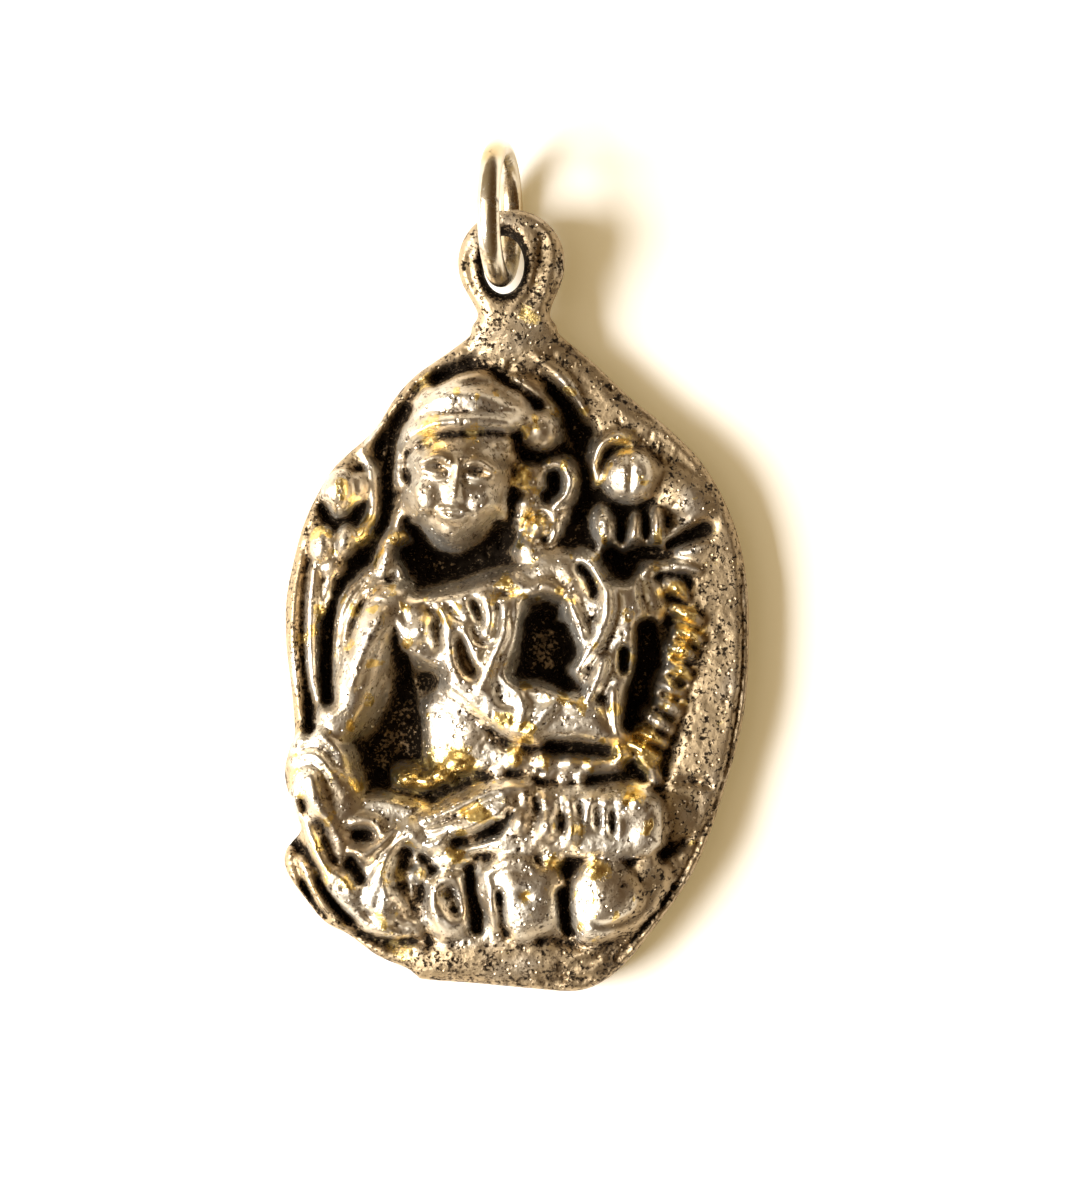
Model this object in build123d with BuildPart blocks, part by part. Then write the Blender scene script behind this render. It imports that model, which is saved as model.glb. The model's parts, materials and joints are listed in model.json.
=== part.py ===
"""Cast pendant: a goddess seated on a lotus inside an irregular oval plate, with a wire jump ring through its eye.

The casting is one solid, poured in one go: plate, raised rim, figure, lotuses and eye. The jump ring is the
only other piece: a round wire bent into a ring, its two cut ends closed up to a hairline.
Frame, in mm: the flat back lies on z = 0, +Z comes out of the front, +Y runs up to the eye, and the origin is
the middle of the plate's back.
"""

import os
from math import asin, cos, degrees, hypot, radians, sin, sqrt

from build123d import *

# Plate: an uneven oval, wider than it is thick, cast with a flat back
plate_width = 25.1
plate_height = 35.9
plate_thickness = 2.5
relief_root = 0.8
plate_edge_round = 0.7
rim_width = 1.5
field_depth = 0.9

# Jump ring: wire, and how it stands in the eye
ring_outer_diameter = 8.0
wire_diameter = 1.2
ring_cut = 0.08
ring_lean = 10.0
ring_rise = 72.0
ring_floor_gap = 0.03

# Eye: a thick loop on the neck, its bar the stretch that the jump ring goes round
bar_width = 1.4
bar_thickness = 2.2
ring_clearance = 0.2
hole_clearance = 0.25
eye_left_wall = 0.7
eye_right_wall = 1.9
eye_edge_round = 0.35
hole_edge_round = 0.25
neck_width = 3.8
neck_length = 1.7
neck_wall = 0.6
neck_root = 3.2
hole_x = -0.85
bar_x = -0.62

# Relief: how far the figure stands above the back
figure_height = 7.4

# The drawing that the relief's places are written in measures 25.1 x 35.9 x 7.4
drawing_width = 25.1
drawing_height = 35.9
drawing_depth = 7.4
scale_x = plate_width / drawing_width
scale_y = plate_height / drawing_height
scale_z = figure_height / drawing_depth

# Every mass is as round as it is high, so that it stays rooted when the plate alone changes
scale_r = scale_z


def at(x, y, z=0.0):
    """A point of the drawing, carried to the plate's own size."""
    return Vector(x * scale_x, y * scale_y, z * scale_z)


# Worked out: the ring stands on the surface under the pendant and hugs the bar from below
wire_radius = wire_diameter / 2
ring_radius = ring_outer_diameter / 2 - wire_radius
lean = radians(ring_lean)
rise = radians(ring_rise)
bar_corner = hypot(bar_width / 2 - hole_edge_round, bar_thickness / 2 - hole_edge_round) + hole_edge_round
bar_reach = bar_corner / cos(lean)
ring_offset = ring_radius - wire_radius - bar_reach - ring_clearance
ring_height = ring_radius * cos(lean) + wire_radius + ring_floor_gap
bar_z = ring_height - ring_offset * sin(rise) * cos(lean)

# The wire crosses the eye's front lowest, which sets the hole's lower wall
plate_top = 17.7 * scale_y
front_drop = abs(ring_height - bar_z - bar_thickness / 2) / cos(lean)
wire_reach = sqrt(ring_radius**2 - front_drop**2) - ring_offset * cos(rise) + wire_radius
hole_radius = (wire_reach + hole_clearance - bar_width / 2) / 2
eye_radius = hole_radius + (eye_left_wall + eye_right_wall) / 2
hole_y = plate_top + neck_length + hole_radius
bar_y = hole_y + hole_radius + bar_width / 2
eye_x = hole_x + (eye_right_wall - eye_left_wall) / 2
eye_y = hole_y + hole_radius + bar_width - eye_radius

bar_centre = Vector(bar_x, bar_y, bar_z)
ring_up = Vector(-sin(lean), 0, cos(lean))
ring_normal = Vector(cos(lean), 0, sin(lean))
ring_centre = bar_centre + Vector(0, 1, 0) * ring_offset * cos(rise) + ring_up * ring_offset * sin(rise)


def capsule(start, end, start_radius, end_radius):
    """A limb: two balls with the cone that touches both, turned about the line between their centres."""
    run = end - start
    length = run.length
    slope = asin((start_radius - end_radius) / length)
    half = slope / 2
    start_tangent = (start_radius * sin(slope), start_radius * cos(slope))
    end_tangent = (length + end_radius * sin(slope), end_radius * cos(slope))
    start_middle = (-start_radius * cos(radians(45) + half), start_radius * sin(radians(45) + half))
    end_middle = (length + end_radius * cos(radians(45) - half), end_radius * sin(radians(45) - half))
    across = Vector(0, 0, 1).cross(run)
    with BuildPart() as limb:
        with BuildSketch(Plane(origin=start, x_dir=run, z_dir=across)):
            with BuildLine():
                ThreePointArc((-start_radius, 0), start_middle, start_tangent)
                Line(start_tangent, end_tangent)
                ThreePointArc(end_tangent, end_middle, (length + end_radius, 0))
                Line((length + end_radius, 0), (-start_radius, 0))
            make_face()
        revolve(axis=Axis(start, run))
    return limb.part


def egg(centre, half_length, half_width, turn=90.0):
    """A blunt egg: a capsule lying in the plate's plane, its long axis at turn degrees from +X."""
    half_run = Vector(cos(radians(turn)), sin(radians(turn)), 0) * (half_length - half_width)
    return capsule(centre - half_run, centre + half_run, half_width, half_width)


def chain(points, radii):
    """A ridge: capsules from point to point of the drawing, each point being x, y and z."""
    spots = [at(*p) for p in points]
    sizes = [r * scale_r for r in radii]
    return [
        capsule(spots[i], spots[i + 1], sizes[i], sizes[i + 1] * 0.985)
        for i in range(len(spots) - 1)
    ]


def rooted(masses):
    """One region's masses joined and cut off level inside the plate, so that they run into it."""
    with BuildPart() as region:
        for mass in masses:
            add(mass)
        split(bisect_by=Plane.XY.offset(relief_root), keep=Keep.TOP)
    return region.part


def plate_outline(share=1.0):
    """The plate's edge, clockwise from the neck. share draws it smaller about the middle, for the field."""
    right = [(1.6, 17.7), (4.2, 15.8), (8.2, 12.2), (11.1, 8.8), (12.5, 3.5), (12.4, -2.0), (10.6, -9.5),
             (7.2, -15.1), (3.4, -18.2)]
    left = [(-5.2, -17.4), (-9.3, -15.2), (-12.3, -11.2), (-12.3, -6.0), (-12.4, 1.5), (-10.7, 8.7),
            (-6.5, 13.9), (-1.8, 17.7)]
    with BuildLine() as edge:
        Spline([at(x * share, y * share) for x, y in right])
        Line(at(3.4 * share, -18.2 * share), at(-5.2 * share, -17.4 * share))
        Spline([at(x * share, y * share) for x, y in left])
        Line(at(-1.8 * share, 17.7 * share), at(1.6 * share, 17.7 * share))
    return edge.line


def plate():
    """The oval plate with its front edge rounded and the field sunk inside the rim."""
    inner = 1 - 2 * rim_width / plate_width
    with BuildPart() as solid:
        with BuildSketch():
            with BuildLine():
                add(plate_outline())
            make_face()
        extrude(amount=plate_thickness)
        fillet(solid.faces().sort_by(Axis.Z)[-1].edges(), radius=plate_edge_round)
        with BuildSketch(Plane.XY.offset(plate_thickness - field_depth)):
            with BuildLine():
                add(plate_outline(inner))
            make_face()
        extrude(amount=plate_thickness, mode=Mode.SUBTRACT)
    return solid.part


def eye():
    """The loop on the neck: a thick disc bored for the ring, its edges rounded, and the neck that carries it."""
    underside = Plane.XY.offset(bar_z - bar_thickness / 2)
    with BuildPart() as solid:
        with BuildSketch(underside):
            with Locations((eye_x, eye_y)):
                Circle(eye_radius)
            with Locations((hole_x, hole_y)):
                Circle(hole_radius, mode=Mode.SUBTRACT)
        extrude(amount=bar_thickness)
        edges = solid.edges().filter_by(GeomType.CIRCLE).sort_by(SortBy.RADIUS)
        fillet(edges[:2], radius=hole_edge_round)
        fillet(edges[2:], radius=eye_edge_round)
        with BuildSketch(Plane.YZ):
            with BuildLine():
                Polyline(
                    (plate_top - neck_root, plate_thickness - field_depth),
                    (plate_top, bar_z + bar_thickness / 2),
                    (plate_top + neck_length - neck_wall, bar_z + bar_thickness / 2),
                    (plate_top + neck_length - neck_wall, bar_z - bar_thickness / 2),
                    (plate_top, bar_z - bar_thickness / 2),
                    (plate_top - neck_root, relief_root),
                    close=True,
                )
            make_face()
        extrude(amount=neck_width / 2, both=True)
    return solid.part


def head():
    """Head bent to one side, crown leaves, side knots of hair and the ear ornaments."""
    leaf_places = [(-4.7, 12.6), (-3.2, 13.5), (-1.6, 13.7), (-0.1, 13.0)]
    return [
        egg(at(-3.2, 9.9, 4.3), 4.0 * scale_r, 3.0 * scale_r, 83),
        egg(at(-2.6, 12.1, 3.6), 3.2 * scale_r, 2.7 * scale_r, 0),
        *[egg(at(x, y, 5.2), 1.3 * scale_r, 0.8 * scale_r, 90) for x, y in leaf_places],
        egg(at(1.3, 11.9, 2.4), 1.15 * scale_r, 1.1 * scale_r),
        egg(at(0.5, 9.6, 2.5), 1.3 * scale_r, 1.2 * scale_r),
        egg(at(1.2, 6.9, 2.7), 1.35 * scale_r, 1.3 * scale_r),
        egg(at(0.9, 5.2, 2.6), 1.2 * scale_r, 1.15 * scale_r),
        egg(at(-6.8, 5.3, 2.2), 1.8 * scale_r, 0.9 * scale_r, 80),
    ]


def body():
    """Chest, waist, sash and the beaded belt, whose beads climb over the belly."""
    beads = [(-5.6 + 1.05 * i, -6.1 + 0.12 * i, max(1.9, 3.7 - 0.5 * abs(i - 3))) for i in range(11)]
    return [
        egg(at(-1.2, 0.6, 1.6), 5.6 * scale_r, 3.1 * scale_r, 8),
        egg(at(-2.4, -3.9, 1.4), 3.4 * scale_r, 3.0 * scale_r, 90),
        egg(at(-1.0, 5.4, 1.8), 2.6 * scale_r, 1.6 * scale_r, 90),
        *chain([(-6.2, 2.3, 4.4), (-3.4, 0.2, 4.9), (0.4, -3.4, 4.4)], [0.9, 1.1, 0.9]),
        *[egg(at(x, y, z), 0.75 * scale_r, 0.7 * scale_r) for x, y, z in beads],
    ]


def arms():
    """One arm reaches down to the knee; the other is bent, with its hand raised in front of the chest."""
    return [
        *chain([(-7.0, 2.3, 2.9), (-8.6, -1.2, 2.8), (-10.3, -4.6, 2.6)], [1.6, 1.4, 1.2]),
        egg(at(-11.0, -5.9, 3.2), 1.9 * scale_r, 1.2 * scale_r, 75),
        *chain([(4.8, 3.9, 2.6), (5.9, 0.2, 2.6), (5.2, -3.9, 2.6)], [1.3, 1.25, 1.2]),
        *chain([(5.2, -3.6, 3.0), (0.8, -3.0, 3.4)], [1.1, 1.0]),
        *chain([(3.6, 2.2, 3.0), (3.9, -2.2, 3.4)], [1.2, 1.0]),
    ]


def legs():
    """One leg folded flat across the seat, the other stepping down at the side."""
    return [
        *chain([(-5.6, -9.4, 3.0), (0.6, -8.8, 3.4), (6.6, -9.4, 2.8)], [1.6, 1.9, 2.1]),
        *chain([(-10.4, -7.0, 2.8), (-9.2, -10.6, 2.4), (-8.0, -13.0, 2.2)], [1.9, 1.7, 1.4]),
        *chain([(-9.6, -8.7, 2.7), (-5.8, -8.9, 2.6)], [1.3, 1.2]),
    ]


def seat():
    """The lotus seat: a row of petals over a rounded foot."""
    petals = [(-9.9, -12.6, 1.1, 120), (-6.3, -12.9, 1.3, 105), (-3.5, -13.2, 1.6, 95), (0.6, -13.1, 1.8, 92),
              (4.8, -13.2, 1.9, 86), (7.5, -12.2, 1.3, 70)]
    return [
        *[egg(at(x, y, 2.3), 2.3 * scale_r, w * scale_r, turn) for x, y, w, turn in petals],
        *chain([(-7.6, -15.2, 1.4), (-1.0, -16.0, 1.7), (4.8, -16.0, 1.5)], [0.9, 1.4, 1.3]),
        egg(at(-0.4, -13.4, 1.0), 7.4 * scale_r, 2.4 * scale_r, 2),
    ]


def flowers():
    """A lotus at each shoulder, their stems, and the ruffled ribbon down one side."""
    ribbon = [(8.7 + 0.9 * sin(radians(24 * i)) - 0.033 * i * i, 4.4 - 1.14 * i, 1.7) for i in range(10)]
    petals = [(4.6, 6.9, 98), (5.7, 6.6, 94), (6.7, 6.6, 88), (7.7, 6.9, 80)]
    return [
        egg(at(-9.6, 8.5, 2.2), 1.5 * scale_r, 1.3 * scale_r, 70),
        egg(at(-9.7, 5.9, 2.0), 1.5 * scale_r, 1.2 * scale_r, 70),
        *chain([(-11.2, 5.2, 2.3), (-11.5, 0.6, 2.3), (-11.2, -3.6, 2.3)], [0.6, 0.6, 0.5]),
        *chain([(-10.3, 4.6, 1.9), (-10.7, 0.6, 1.9), (-10.2, -2.4, 1.9)], [0.6, 0.6, 0.5]),
        egg(at(6.1, 9.4, 2.4), 1.7 * scale_r, 1.6 * scale_r, 90),
        *[egg(at(x, y, 1.9), 1.2 * scale_r, 0.7 * scale_r, turn) for x, y, turn in petals],
        egg(at(8.8, 8.5, 2.0), 1.8 * scale_r, 1.0 * scale_r, 33),
        *chain(ribbon, [0.8, 0.55] * 5),
    ]


os.makedirs("parts", exist_ok=True)

plate_solid = plate()
eye_solid = eye()
regions = [rooted(masses) for masses in (head(), body(), arms(), legs(), seat(), flowers())]
with BuildPart() as pendant_casting:
    add(plate_solid)
    add(eye_solid)
    for region in regions:
        add(region)
pendant_casting.part.label = "pendant_casting"
export_step(pendant_casting.part, "parts/pendant_casting.step")

ring_plane = Plane(origin=ring_centre, x_dir=-ring_up, z_dir=ring_normal)
cut_angle = degrees(ring_cut / ring_radius)
with BuildPart() as jump_ring:
    with Locations(ring_plane.rotated((0, 0, cut_angle / 2))):
        Torus(ring_radius, wire_radius, major_angle=360 - cut_angle)
jump_ring.part.label = "jump_ring"
export_step(jump_ring.part, "parts/jump_ring.step")

print("bar", tuple(round(v, 4) for v in bar_centre), "swing axis", tuple(round(-v, 5) for v in ring_normal))
print("ring centre", tuple(round(v, 4) for v in ring_centre))
print("hole", round(hole_x, 3), round(hole_y, 3), "radius", round(hole_radius, 3), "eye", round(eye_x, 3),
      round(eye_y, 3), "radius", round(eye_radius, 3))
shells = [len(solid.shells()) for solid in pendant_casting.part.solids()]
print("casting", pendant_casting.part.bounding_box(), "shells", shells)
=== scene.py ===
"""A cast pendant in its finished looks: the relief casting and the jump ring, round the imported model.

Lengths are in millimetres up to the moment a mesh is made. The casting is a height map: its height over the
back is a function of x and y, built up stroke by stroke as a modeller builds wax, and closed by a wall and a back.
"""

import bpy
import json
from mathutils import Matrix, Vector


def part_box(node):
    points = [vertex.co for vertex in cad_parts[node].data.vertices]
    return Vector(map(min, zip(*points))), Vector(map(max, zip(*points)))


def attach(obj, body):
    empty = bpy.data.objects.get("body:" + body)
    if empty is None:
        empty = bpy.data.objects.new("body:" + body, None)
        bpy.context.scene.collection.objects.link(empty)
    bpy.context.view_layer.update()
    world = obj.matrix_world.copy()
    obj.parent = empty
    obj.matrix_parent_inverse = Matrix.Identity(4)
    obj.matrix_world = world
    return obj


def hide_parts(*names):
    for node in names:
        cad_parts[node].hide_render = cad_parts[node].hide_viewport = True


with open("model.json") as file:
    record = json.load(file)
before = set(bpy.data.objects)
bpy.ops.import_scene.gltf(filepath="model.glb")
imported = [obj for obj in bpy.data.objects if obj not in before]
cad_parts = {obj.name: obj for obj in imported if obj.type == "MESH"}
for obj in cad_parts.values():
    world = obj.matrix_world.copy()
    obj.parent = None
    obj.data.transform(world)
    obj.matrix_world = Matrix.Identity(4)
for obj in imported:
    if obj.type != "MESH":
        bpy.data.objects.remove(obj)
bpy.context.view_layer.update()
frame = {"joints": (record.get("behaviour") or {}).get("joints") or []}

import json
import math

import bpy
import numpy as np
from mathutils import Vector
from mathutils.geometry import delaunay_2d_cdt

# ---------------------------------------------------------------------------------------------------------
# The plate: the ground that everything stands on, silver-plated brass poured in an open-backed mould.
# Its edge is uneven, with a notch at the lower left and a squared foot.
mm = 0.001
cell = 0.1
across = np.arange(-13.0, 13.01, cell)
upward = np.arange(-18.8, 24.61, cell)
X, Y = np.meshgrid(across, upward)
field_level = 1.6
height = np.full(X.shape, field_level)


def smooth_path(places, steps=10, closed=False):
    """A Catmull-Rom curve: between two places it is the cubic that also looks at the place before and after."""
    p = np.asarray(places, float)
    if closed:
        p = np.vstack([p[-1:], p, p[:2]])
    else:
        p = np.vstack([2 * p[:1] - p[1:2], p, 2 * p[-1:] - p[-2:-1]])
    t = np.linspace(0, 1, steps, endpoint=False)[:, None]
    a, b, c, d = p[:-3], p[1:-2], p[2:-1], p[3:]
    spans = [
        0.5 * (2 * q + (r - o) * t + (2 * o - 5 * q + 4 * r - s) * t**2 + (3 * q - o - 3 * r + s) * t**3)
        for o, q, r, s in zip(a, b, c, d)
    ]
    return np.vstack(spans + ([] if closed else [p[-2:-1]]))


def nearest(path, x, y):
    """How far each place is from a path, and how far along the path, 0 to 1, its nearest point lies."""
    start, run = path[:-1], np.diff(path, axis=0)
    length_squared = np.maximum((run**2).sum(1), 1e-9)
    along = ((x[..., None] - start[:, 0]) * run[:, 0] + (y[..., None] - start[:, 1]) * run[:, 1]) / length_squared
    along = np.clip(along, 0, 1)
    off_x = x[..., None] - start[:, 0] - along * run[:, 0]
    off_y = y[..., None] - start[:, 1] - along * run[:, 1]
    gap = off_x**2 + off_y**2
    pick = gap.argmin(-1)[..., None]
    share = (pick + np.take_along_axis(along, pick, -1))[..., 0] / len(run)
    return np.sqrt(np.take_along_axis(gap, pick, -1)[..., 0]), share


def window(path, reach):
    """The rows and columns of the grid within reach of a path."""
    low, high = path.min(0) - reach, path.max(0) + reach
    rows = slice(np.searchsorted(upward, low[1]), np.searchsorted(upward, high[1]) + 1)
    columns = slice(np.searchsorted(across, low[0]), np.searchsorted(across, high[0]) + 1)
    return rows, columns


def smooth_max(a, b, soft):
    """The larger of two heights, with the crease between them filled over a band of height soft."""
    near = np.maximum(soft - np.abs(a - b), 0) / soft
    return np.maximum(a, b) + near**2 * soft / 4


def signed_gap(loop, rows=slice(None), columns=slice(None)):
    """Distance of grid places to a closed loop, minus inside it. A place is inside when a line to the right
    crosses the loop an odd number of times."""
    x, y = X[rows, columns], Y[rows, columns]
    gap = np.empty(x.shape)
    closed_loop = np.vstack([loop, loop[:1]])
    for row in range(0, len(x), 12):
        gap[row:row + 12] = nearest(closed_loop, x[row:row + 12], y[row:row + 12])[0]
    inside = np.zeros(x.shape, bool)
    for (x0, y0), (x1, y1) in zip(closed_loop[:-1], closed_loop[1:]):
        if y0 != y1:
            inside ^= ((y0 > y) != (y1 > y)) & (x < x0 + (y - y0) * (x1 - x0) / (y1 - y0))
    return np.where(inside, -gap, gap)


def pad(places, top, shoulder=0.9, soft=0.25, lean=(0.0, 0.0), draft=3.0):
    """Raises the inside of a closed curve to a level, rounded over its shoulder: a quarter circle from the
    curve inwards, a steep draft outside it. lean tilts the level, in mm of height for each mm of x and y."""
    loop = smooth_path(places, steps=5, closed=True)
    rows, columns = window(loop, 1.2)
    gap = signed_gap(loop, rows, columns)
    middle = loop.mean(0)
    level = top + lean[0] * (X[rows, columns] - middle[0]) + lean[1] * (Y[rows, columns] - middle[1])
    inside = np.clip(-gap / shoulder, 0, 1)
    raised = level - shoulder * (1 - np.sqrt(1 - (1 - inside) ** 2)) - draft * np.maximum(gap, 0)
    height[rows, columns] = smooth_max(height[rows, columns], raised, soft)


def ridge(places, top, half, soft=0.2, tip=0.6, full=1.0, draft=3.4):
    """Raises a rounded bar along a curve. Its top and half-width may be lists, spread along it; full is how far
    its round side drops, in half-widths, and past that it falls at the draft. tip is its width at both ends."""
    path = smooth_path(places)
    rows, columns = window(path, np.max(half) + 1.3)
    gap, share = nearest(path, X[rows, columns], Y[rows, columns])
    tops = np.interp(share, np.linspace(0, 1, np.size(top)), np.atleast_1d(top))
    halves = np.interp(share, np.linspace(0, 1, np.size(half)), np.atleast_1d(half))
    halves = halves * (tip + (1 - tip) * np.minimum(1, 3 * np.minimum(share, 1 - share) + 0.02))
    inside = np.minimum(gap / halves, 1)
    bar = tops - full * halves * (1 - np.sqrt(1 - inside**2)) - draft * np.maximum(gap - halves, 0)
    height[rows, columns] = smooth_max(height[rows, columns], bar, soft)


def groove(places, depth, half):
    """Cuts a soft-sided channel along a curve: its depth falls off as a bell curve, gone at twice its half-width."""
    path = smooth_path(places)
    rows, columns = window(path, 2.2 * np.max(half))
    gap, share = nearest(path, X[rows, columns], Y[rows, columns])
    depths = np.interp(share, np.linspace(0, 1, np.size(depth)), np.atleast_1d(depth))
    halves = np.interp(share, np.linspace(0, 1, np.size(half)), np.atleast_1d(half))
    ends = np.minimum(1, 5 * np.minimum(share, 1 - share) + 0.5)
    height[rows, columns] -= depths * ends * np.exp(-1.4 * (gap / halves) ** 2)


def hollow(places, floor, half, slope=3.0):
    """Sinks the ground along a curve to a floor: flat within its half-width, then a wall of the given slope."""
    path = smooth_path(places)
    rows, columns = window(path, np.max(half) + 2.2)
    gap, share = nearest(path, X[rows, columns], Y[rows, columns])
    halves = np.interp(share, np.linspace(0, 1, np.size(half)), np.atleast_1d(half))
    pit = floor + slope * np.maximum(gap - halves, 0)
    height[rows, columns] = -smooth_max(-height[rows, columns], -pit, 0.3)


def dome(x, y, half_x, half_y, top, low=None, turn=0.0, soft=0.2, square=0.5):
    """Raises half an ellipsoid, from low at its edge to top, its half_x axis at turn degrees from +x. square is
    how full its side is, 0.5 for a true ellipsoid, and past its edge it falls by 4 mm for each mm."""
    low = top - min(half_x, half_y) if low is None else low
    c, s = math.cos(math.radians(turn)), math.sin(math.radians(turn))
    reach = max(half_x, half_y) + 0.5
    rows, columns = window(np.array([[x, y]]), reach)
    dx, dy = X[rows, columns] - x, Y[rows, columns] - y
    out = ((dx * c + dy * s) / half_x) ** 2 + ((dy * c - dx * s) / half_y) ** 2
    fall = 4.0 * min(half_x, half_y) * np.maximum(np.sqrt(out) - 1, 0)
    cap = low + (top - low) * np.maximum(1 - out, 0) ** square - fall
    height[rows, columns] = smooth_max(height[rows, columns], cap, soft)


plate_edge = smooth_path([
    (1.7, 17.9), (2.4, 17.2), (4.2, 15.7), (6.2, 13.8), (8.2, 12.2), (10.2, 10.1), (11.7, 7.2), (12.4, 4.2),
    (12.55, 1), (12.3, -3), (11.3, -7), (9.6, -11.6), (7.0, -15.3), (5.8, -16.7), (4.6, -17.65), (3.2, -18.12),
    (1.0, -18.0), (-2.0, -17.72), (-4.9, -17.5), (-5.35, -17.3), (-5.9, -16.9), (-7.5, -16.2), (-9.0, -15.1),
    (-10.3, -14.4), (-11.4, -13.1), (-12.2, -12.0), (-12.5, -11.2), (-12.4, -10.5), (-12.1, -10.1),
    (-11.6, -9.4), (-11.9, -8.5), (-12.4, -7), (-12.45, -6), (-12.2, -5), (-11.95, -4.2), (-12.1, -2),
    (-12.4, 0.6), (-12.4, 3), (-11.9, 5.5), (-11.4, 7.2), (-10.7, 8.7), (-9.9, 10), (-9.0, 10.9), (-8.2, 11.6),
    (-7.4, 12.5), (-6.5, 13.9), (-5.5, 15), (-4.4, 15.8), (-3.4, 16.5), (-2.5, 17.2), (-1.9, 17.9),
], steps=5, closed=True)
plate_gap = signed_gap(plate_edge)
inward = -plate_gap

# The ground: a plain border, wide on the right and at the top and narrow on the left, round a sunk field
narrow_border, right_extra, top_extra, foot_border = 1.0, 2.3, 1.2, 0.8
border_level, border_rise = 2.45, 0.02
border_width = narrow_border + right_extra / (1 + np.exp(-(X - 2.0) / 1.6))
border_width = border_width + top_extra * np.exp(-(((X + 0.5) / 3) ** 2)) * (Y > 12)
border_width = np.where((Y < -8) & (X < 4), foot_border, border_width)
border = 1 / (1 + np.exp((inward - border_width) / 0.16))
height = field_level + (border_level - field_level) * border + border_rise * X * (X > 0) * border


# ---------------------------------------------------------------------------------------------------------
# The rims round the head: two thin ridges with a black channel between them on the left, and a broad flat band
# on the right whose inner lip stands up like a halo.
hollow([(-2.2, 15.7), (-0.3, 15.6), (1.4, 14.9), (2.6, 13.7), (3.3, 12.3), (3.8, 10.8), (3.9, 9.2), (3.2, 7.6)],
       0.9, 0.38)
hollow([(-4.2, 14.6), (-5.8, 13.0), (-6.9, 11.0), (-7.0, 9.0), (-7.2, 7.0), (-8.2, 5.4)], 0.9, 0.4)
ridge([(-2.3, 16.3), (-3.6, 15.6), (-5.1, 14.85), (-6.1, 13.8), (-7.0, 12.75), (-7.8, 11.8), (-8.5, 11.2)],
      [2.7, 2.95, 3.0, 2.9, 2.7], 0.34)
ridge([(-2.3, 15.75), (-3.8, 15.05), (-5.0, 14.0), (-5.9, 12.9), (-6.7, 11.5), (-7.1, 10.2)],
      [2.5, 2.5, 2.35, 2.2], 0.2)
groove([(-2.4, 15.95), (-4.0, 15.2), (-5.4, 14.0), (-6.5, 12.7), (-7.3, 11.5)], 1.3, 0.24)
ridge([(-0.4, 16.5), (0.7, 16.2), (1.7, 15.5), (2.5, 14.8), (3.2, 13.8), (3.75, 12.9)], [2.7, 3.1, 3.1, 2.7], 0.36)
dome(-0.3, 16.9, 2.6, 1.2, 2.9, 2.2)
groove([(1.2, 17.4), (2.6, 16.6), (4.3, 15.2), (6.0, 13.5), (7.7, 12.3)], 0.35, 0.22)
groove([(11.0, 8.4), (11.9, 6.0), (12.15, 3.0), (12.2, 0.0), (11.9, -3.2), (11.1, -6.8), (10.2, -9.2),
        (8.9, -11.9), (7.3, -14.2), (5.4, -16.4)], [0.3, 0.5, 0.6, 0.6, 0.7], 0.15)


# ---------------------------------------------------------------------------------------------------------
# The goddess's head: an oval face under a banded crown, bent to one side, with a knot of hair and ear ornaments.
# The face is a calm one on the usual proportions, its eyes closed.
face_x, face_y, face_tilt = -3.15, 9.05, math.radians(7)


def on_face(*places):
    """Places given as (side, up) from the middle of the face, turned with its tilt."""
    c, s = math.cos(face_tilt), math.sin(face_tilt)
    return [(face_x + side * c + up * s, face_y - side * s + up * c) for side, up in places]


hollow([(-5.2, 6.3), (-4.6, 4.6), (-3.0, 4.2), (-1.2, 5.4), (-0.9, 7.4)], 0.8, 0.9)
dome(-2.6, 11.6, 3.5, 3.3, 5.4, 2.2)
dome(-3.0, 9.4, 2.85, 3.6, 6.9, 3.0, turn=-7, square=0.55)
dome(*on_face((0, -1.1))[0], 2.05, 2.0, 6.55, 3.2, turn=-7)
dome(*on_face((0, -2.15))[0], 0.85, 0.75, 6.15, 4.9, turn=-7)
dome(*on_face((-1.35, -0.75))[0], 0.9, 1.0, 6.75, 5.9, turn=-7, soft=0.3)
dome(*on_face((1.35, -0.75))[0], 0.9, 1.0, 6.7, 5.8, turn=-7, soft=0.3)
for side in (-1, 1):
    hollow(on_face((side * 0.62, 0.72), (side * 1.2, 0.78), (side * 1.75, 0.6)), 6.25, 0.1, 0.8)
    ridge(on_face((side * 0.5, 0.55), (side * 1.1, 0.42), (side * 1.75, 0.5)), 6.78, [0.24, 0.34, 0.2], tip=0.7)
    groove(on_face((side * 0.55, 0.34), (side * 1.1, 0.12), (side * 1.8, 0.36)), 0.26, 0.09)
    groove(on_face((side * 0.5, 0.78), (side * 1.1, 0.86), (side * 1.75, 0.74)), 0.16, 0.08)
    ridge(on_face((side * 0.32, 1.02), (side * 1.0, 1.36), (side * 1.9, 1.0)), 7.0, 0.2, tip=0.5)
ridge(on_face((0, 1.15), (0, 0.2), (0, -0.62)), [6.95, 7.1, 7.3], [0.2, 0.24, 0.36], tip=0.8)
dome(*on_face((-0.3, -0.72))[0], 0.24, 0.22, 6.95, 6.5)
dome(*on_face((0.3, -0.72))[0], 0.24, 0.22, 6.95, 6.5)
ridge(on_face((-0.72, -1.42), (-0.3, -1.26), (0, -1.34), (0.3, -1.26), (0.72, -1.42)), 6.95, 0.17, tip=0.4)
ridge(on_face((-0.55, -1.62), (0, -1.76), (0.55, -1.62)), 6.92, 0.21, tip=0.4)
groove(on_face((-0.8, -1.46), (0, -1.52), (0.8, -1.46)), 0.3, 0.08)
groove(on_face((-0.35, -2.02), (0, -2.06), (0.35, -2.02)), 0.14, 0.1)

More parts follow.
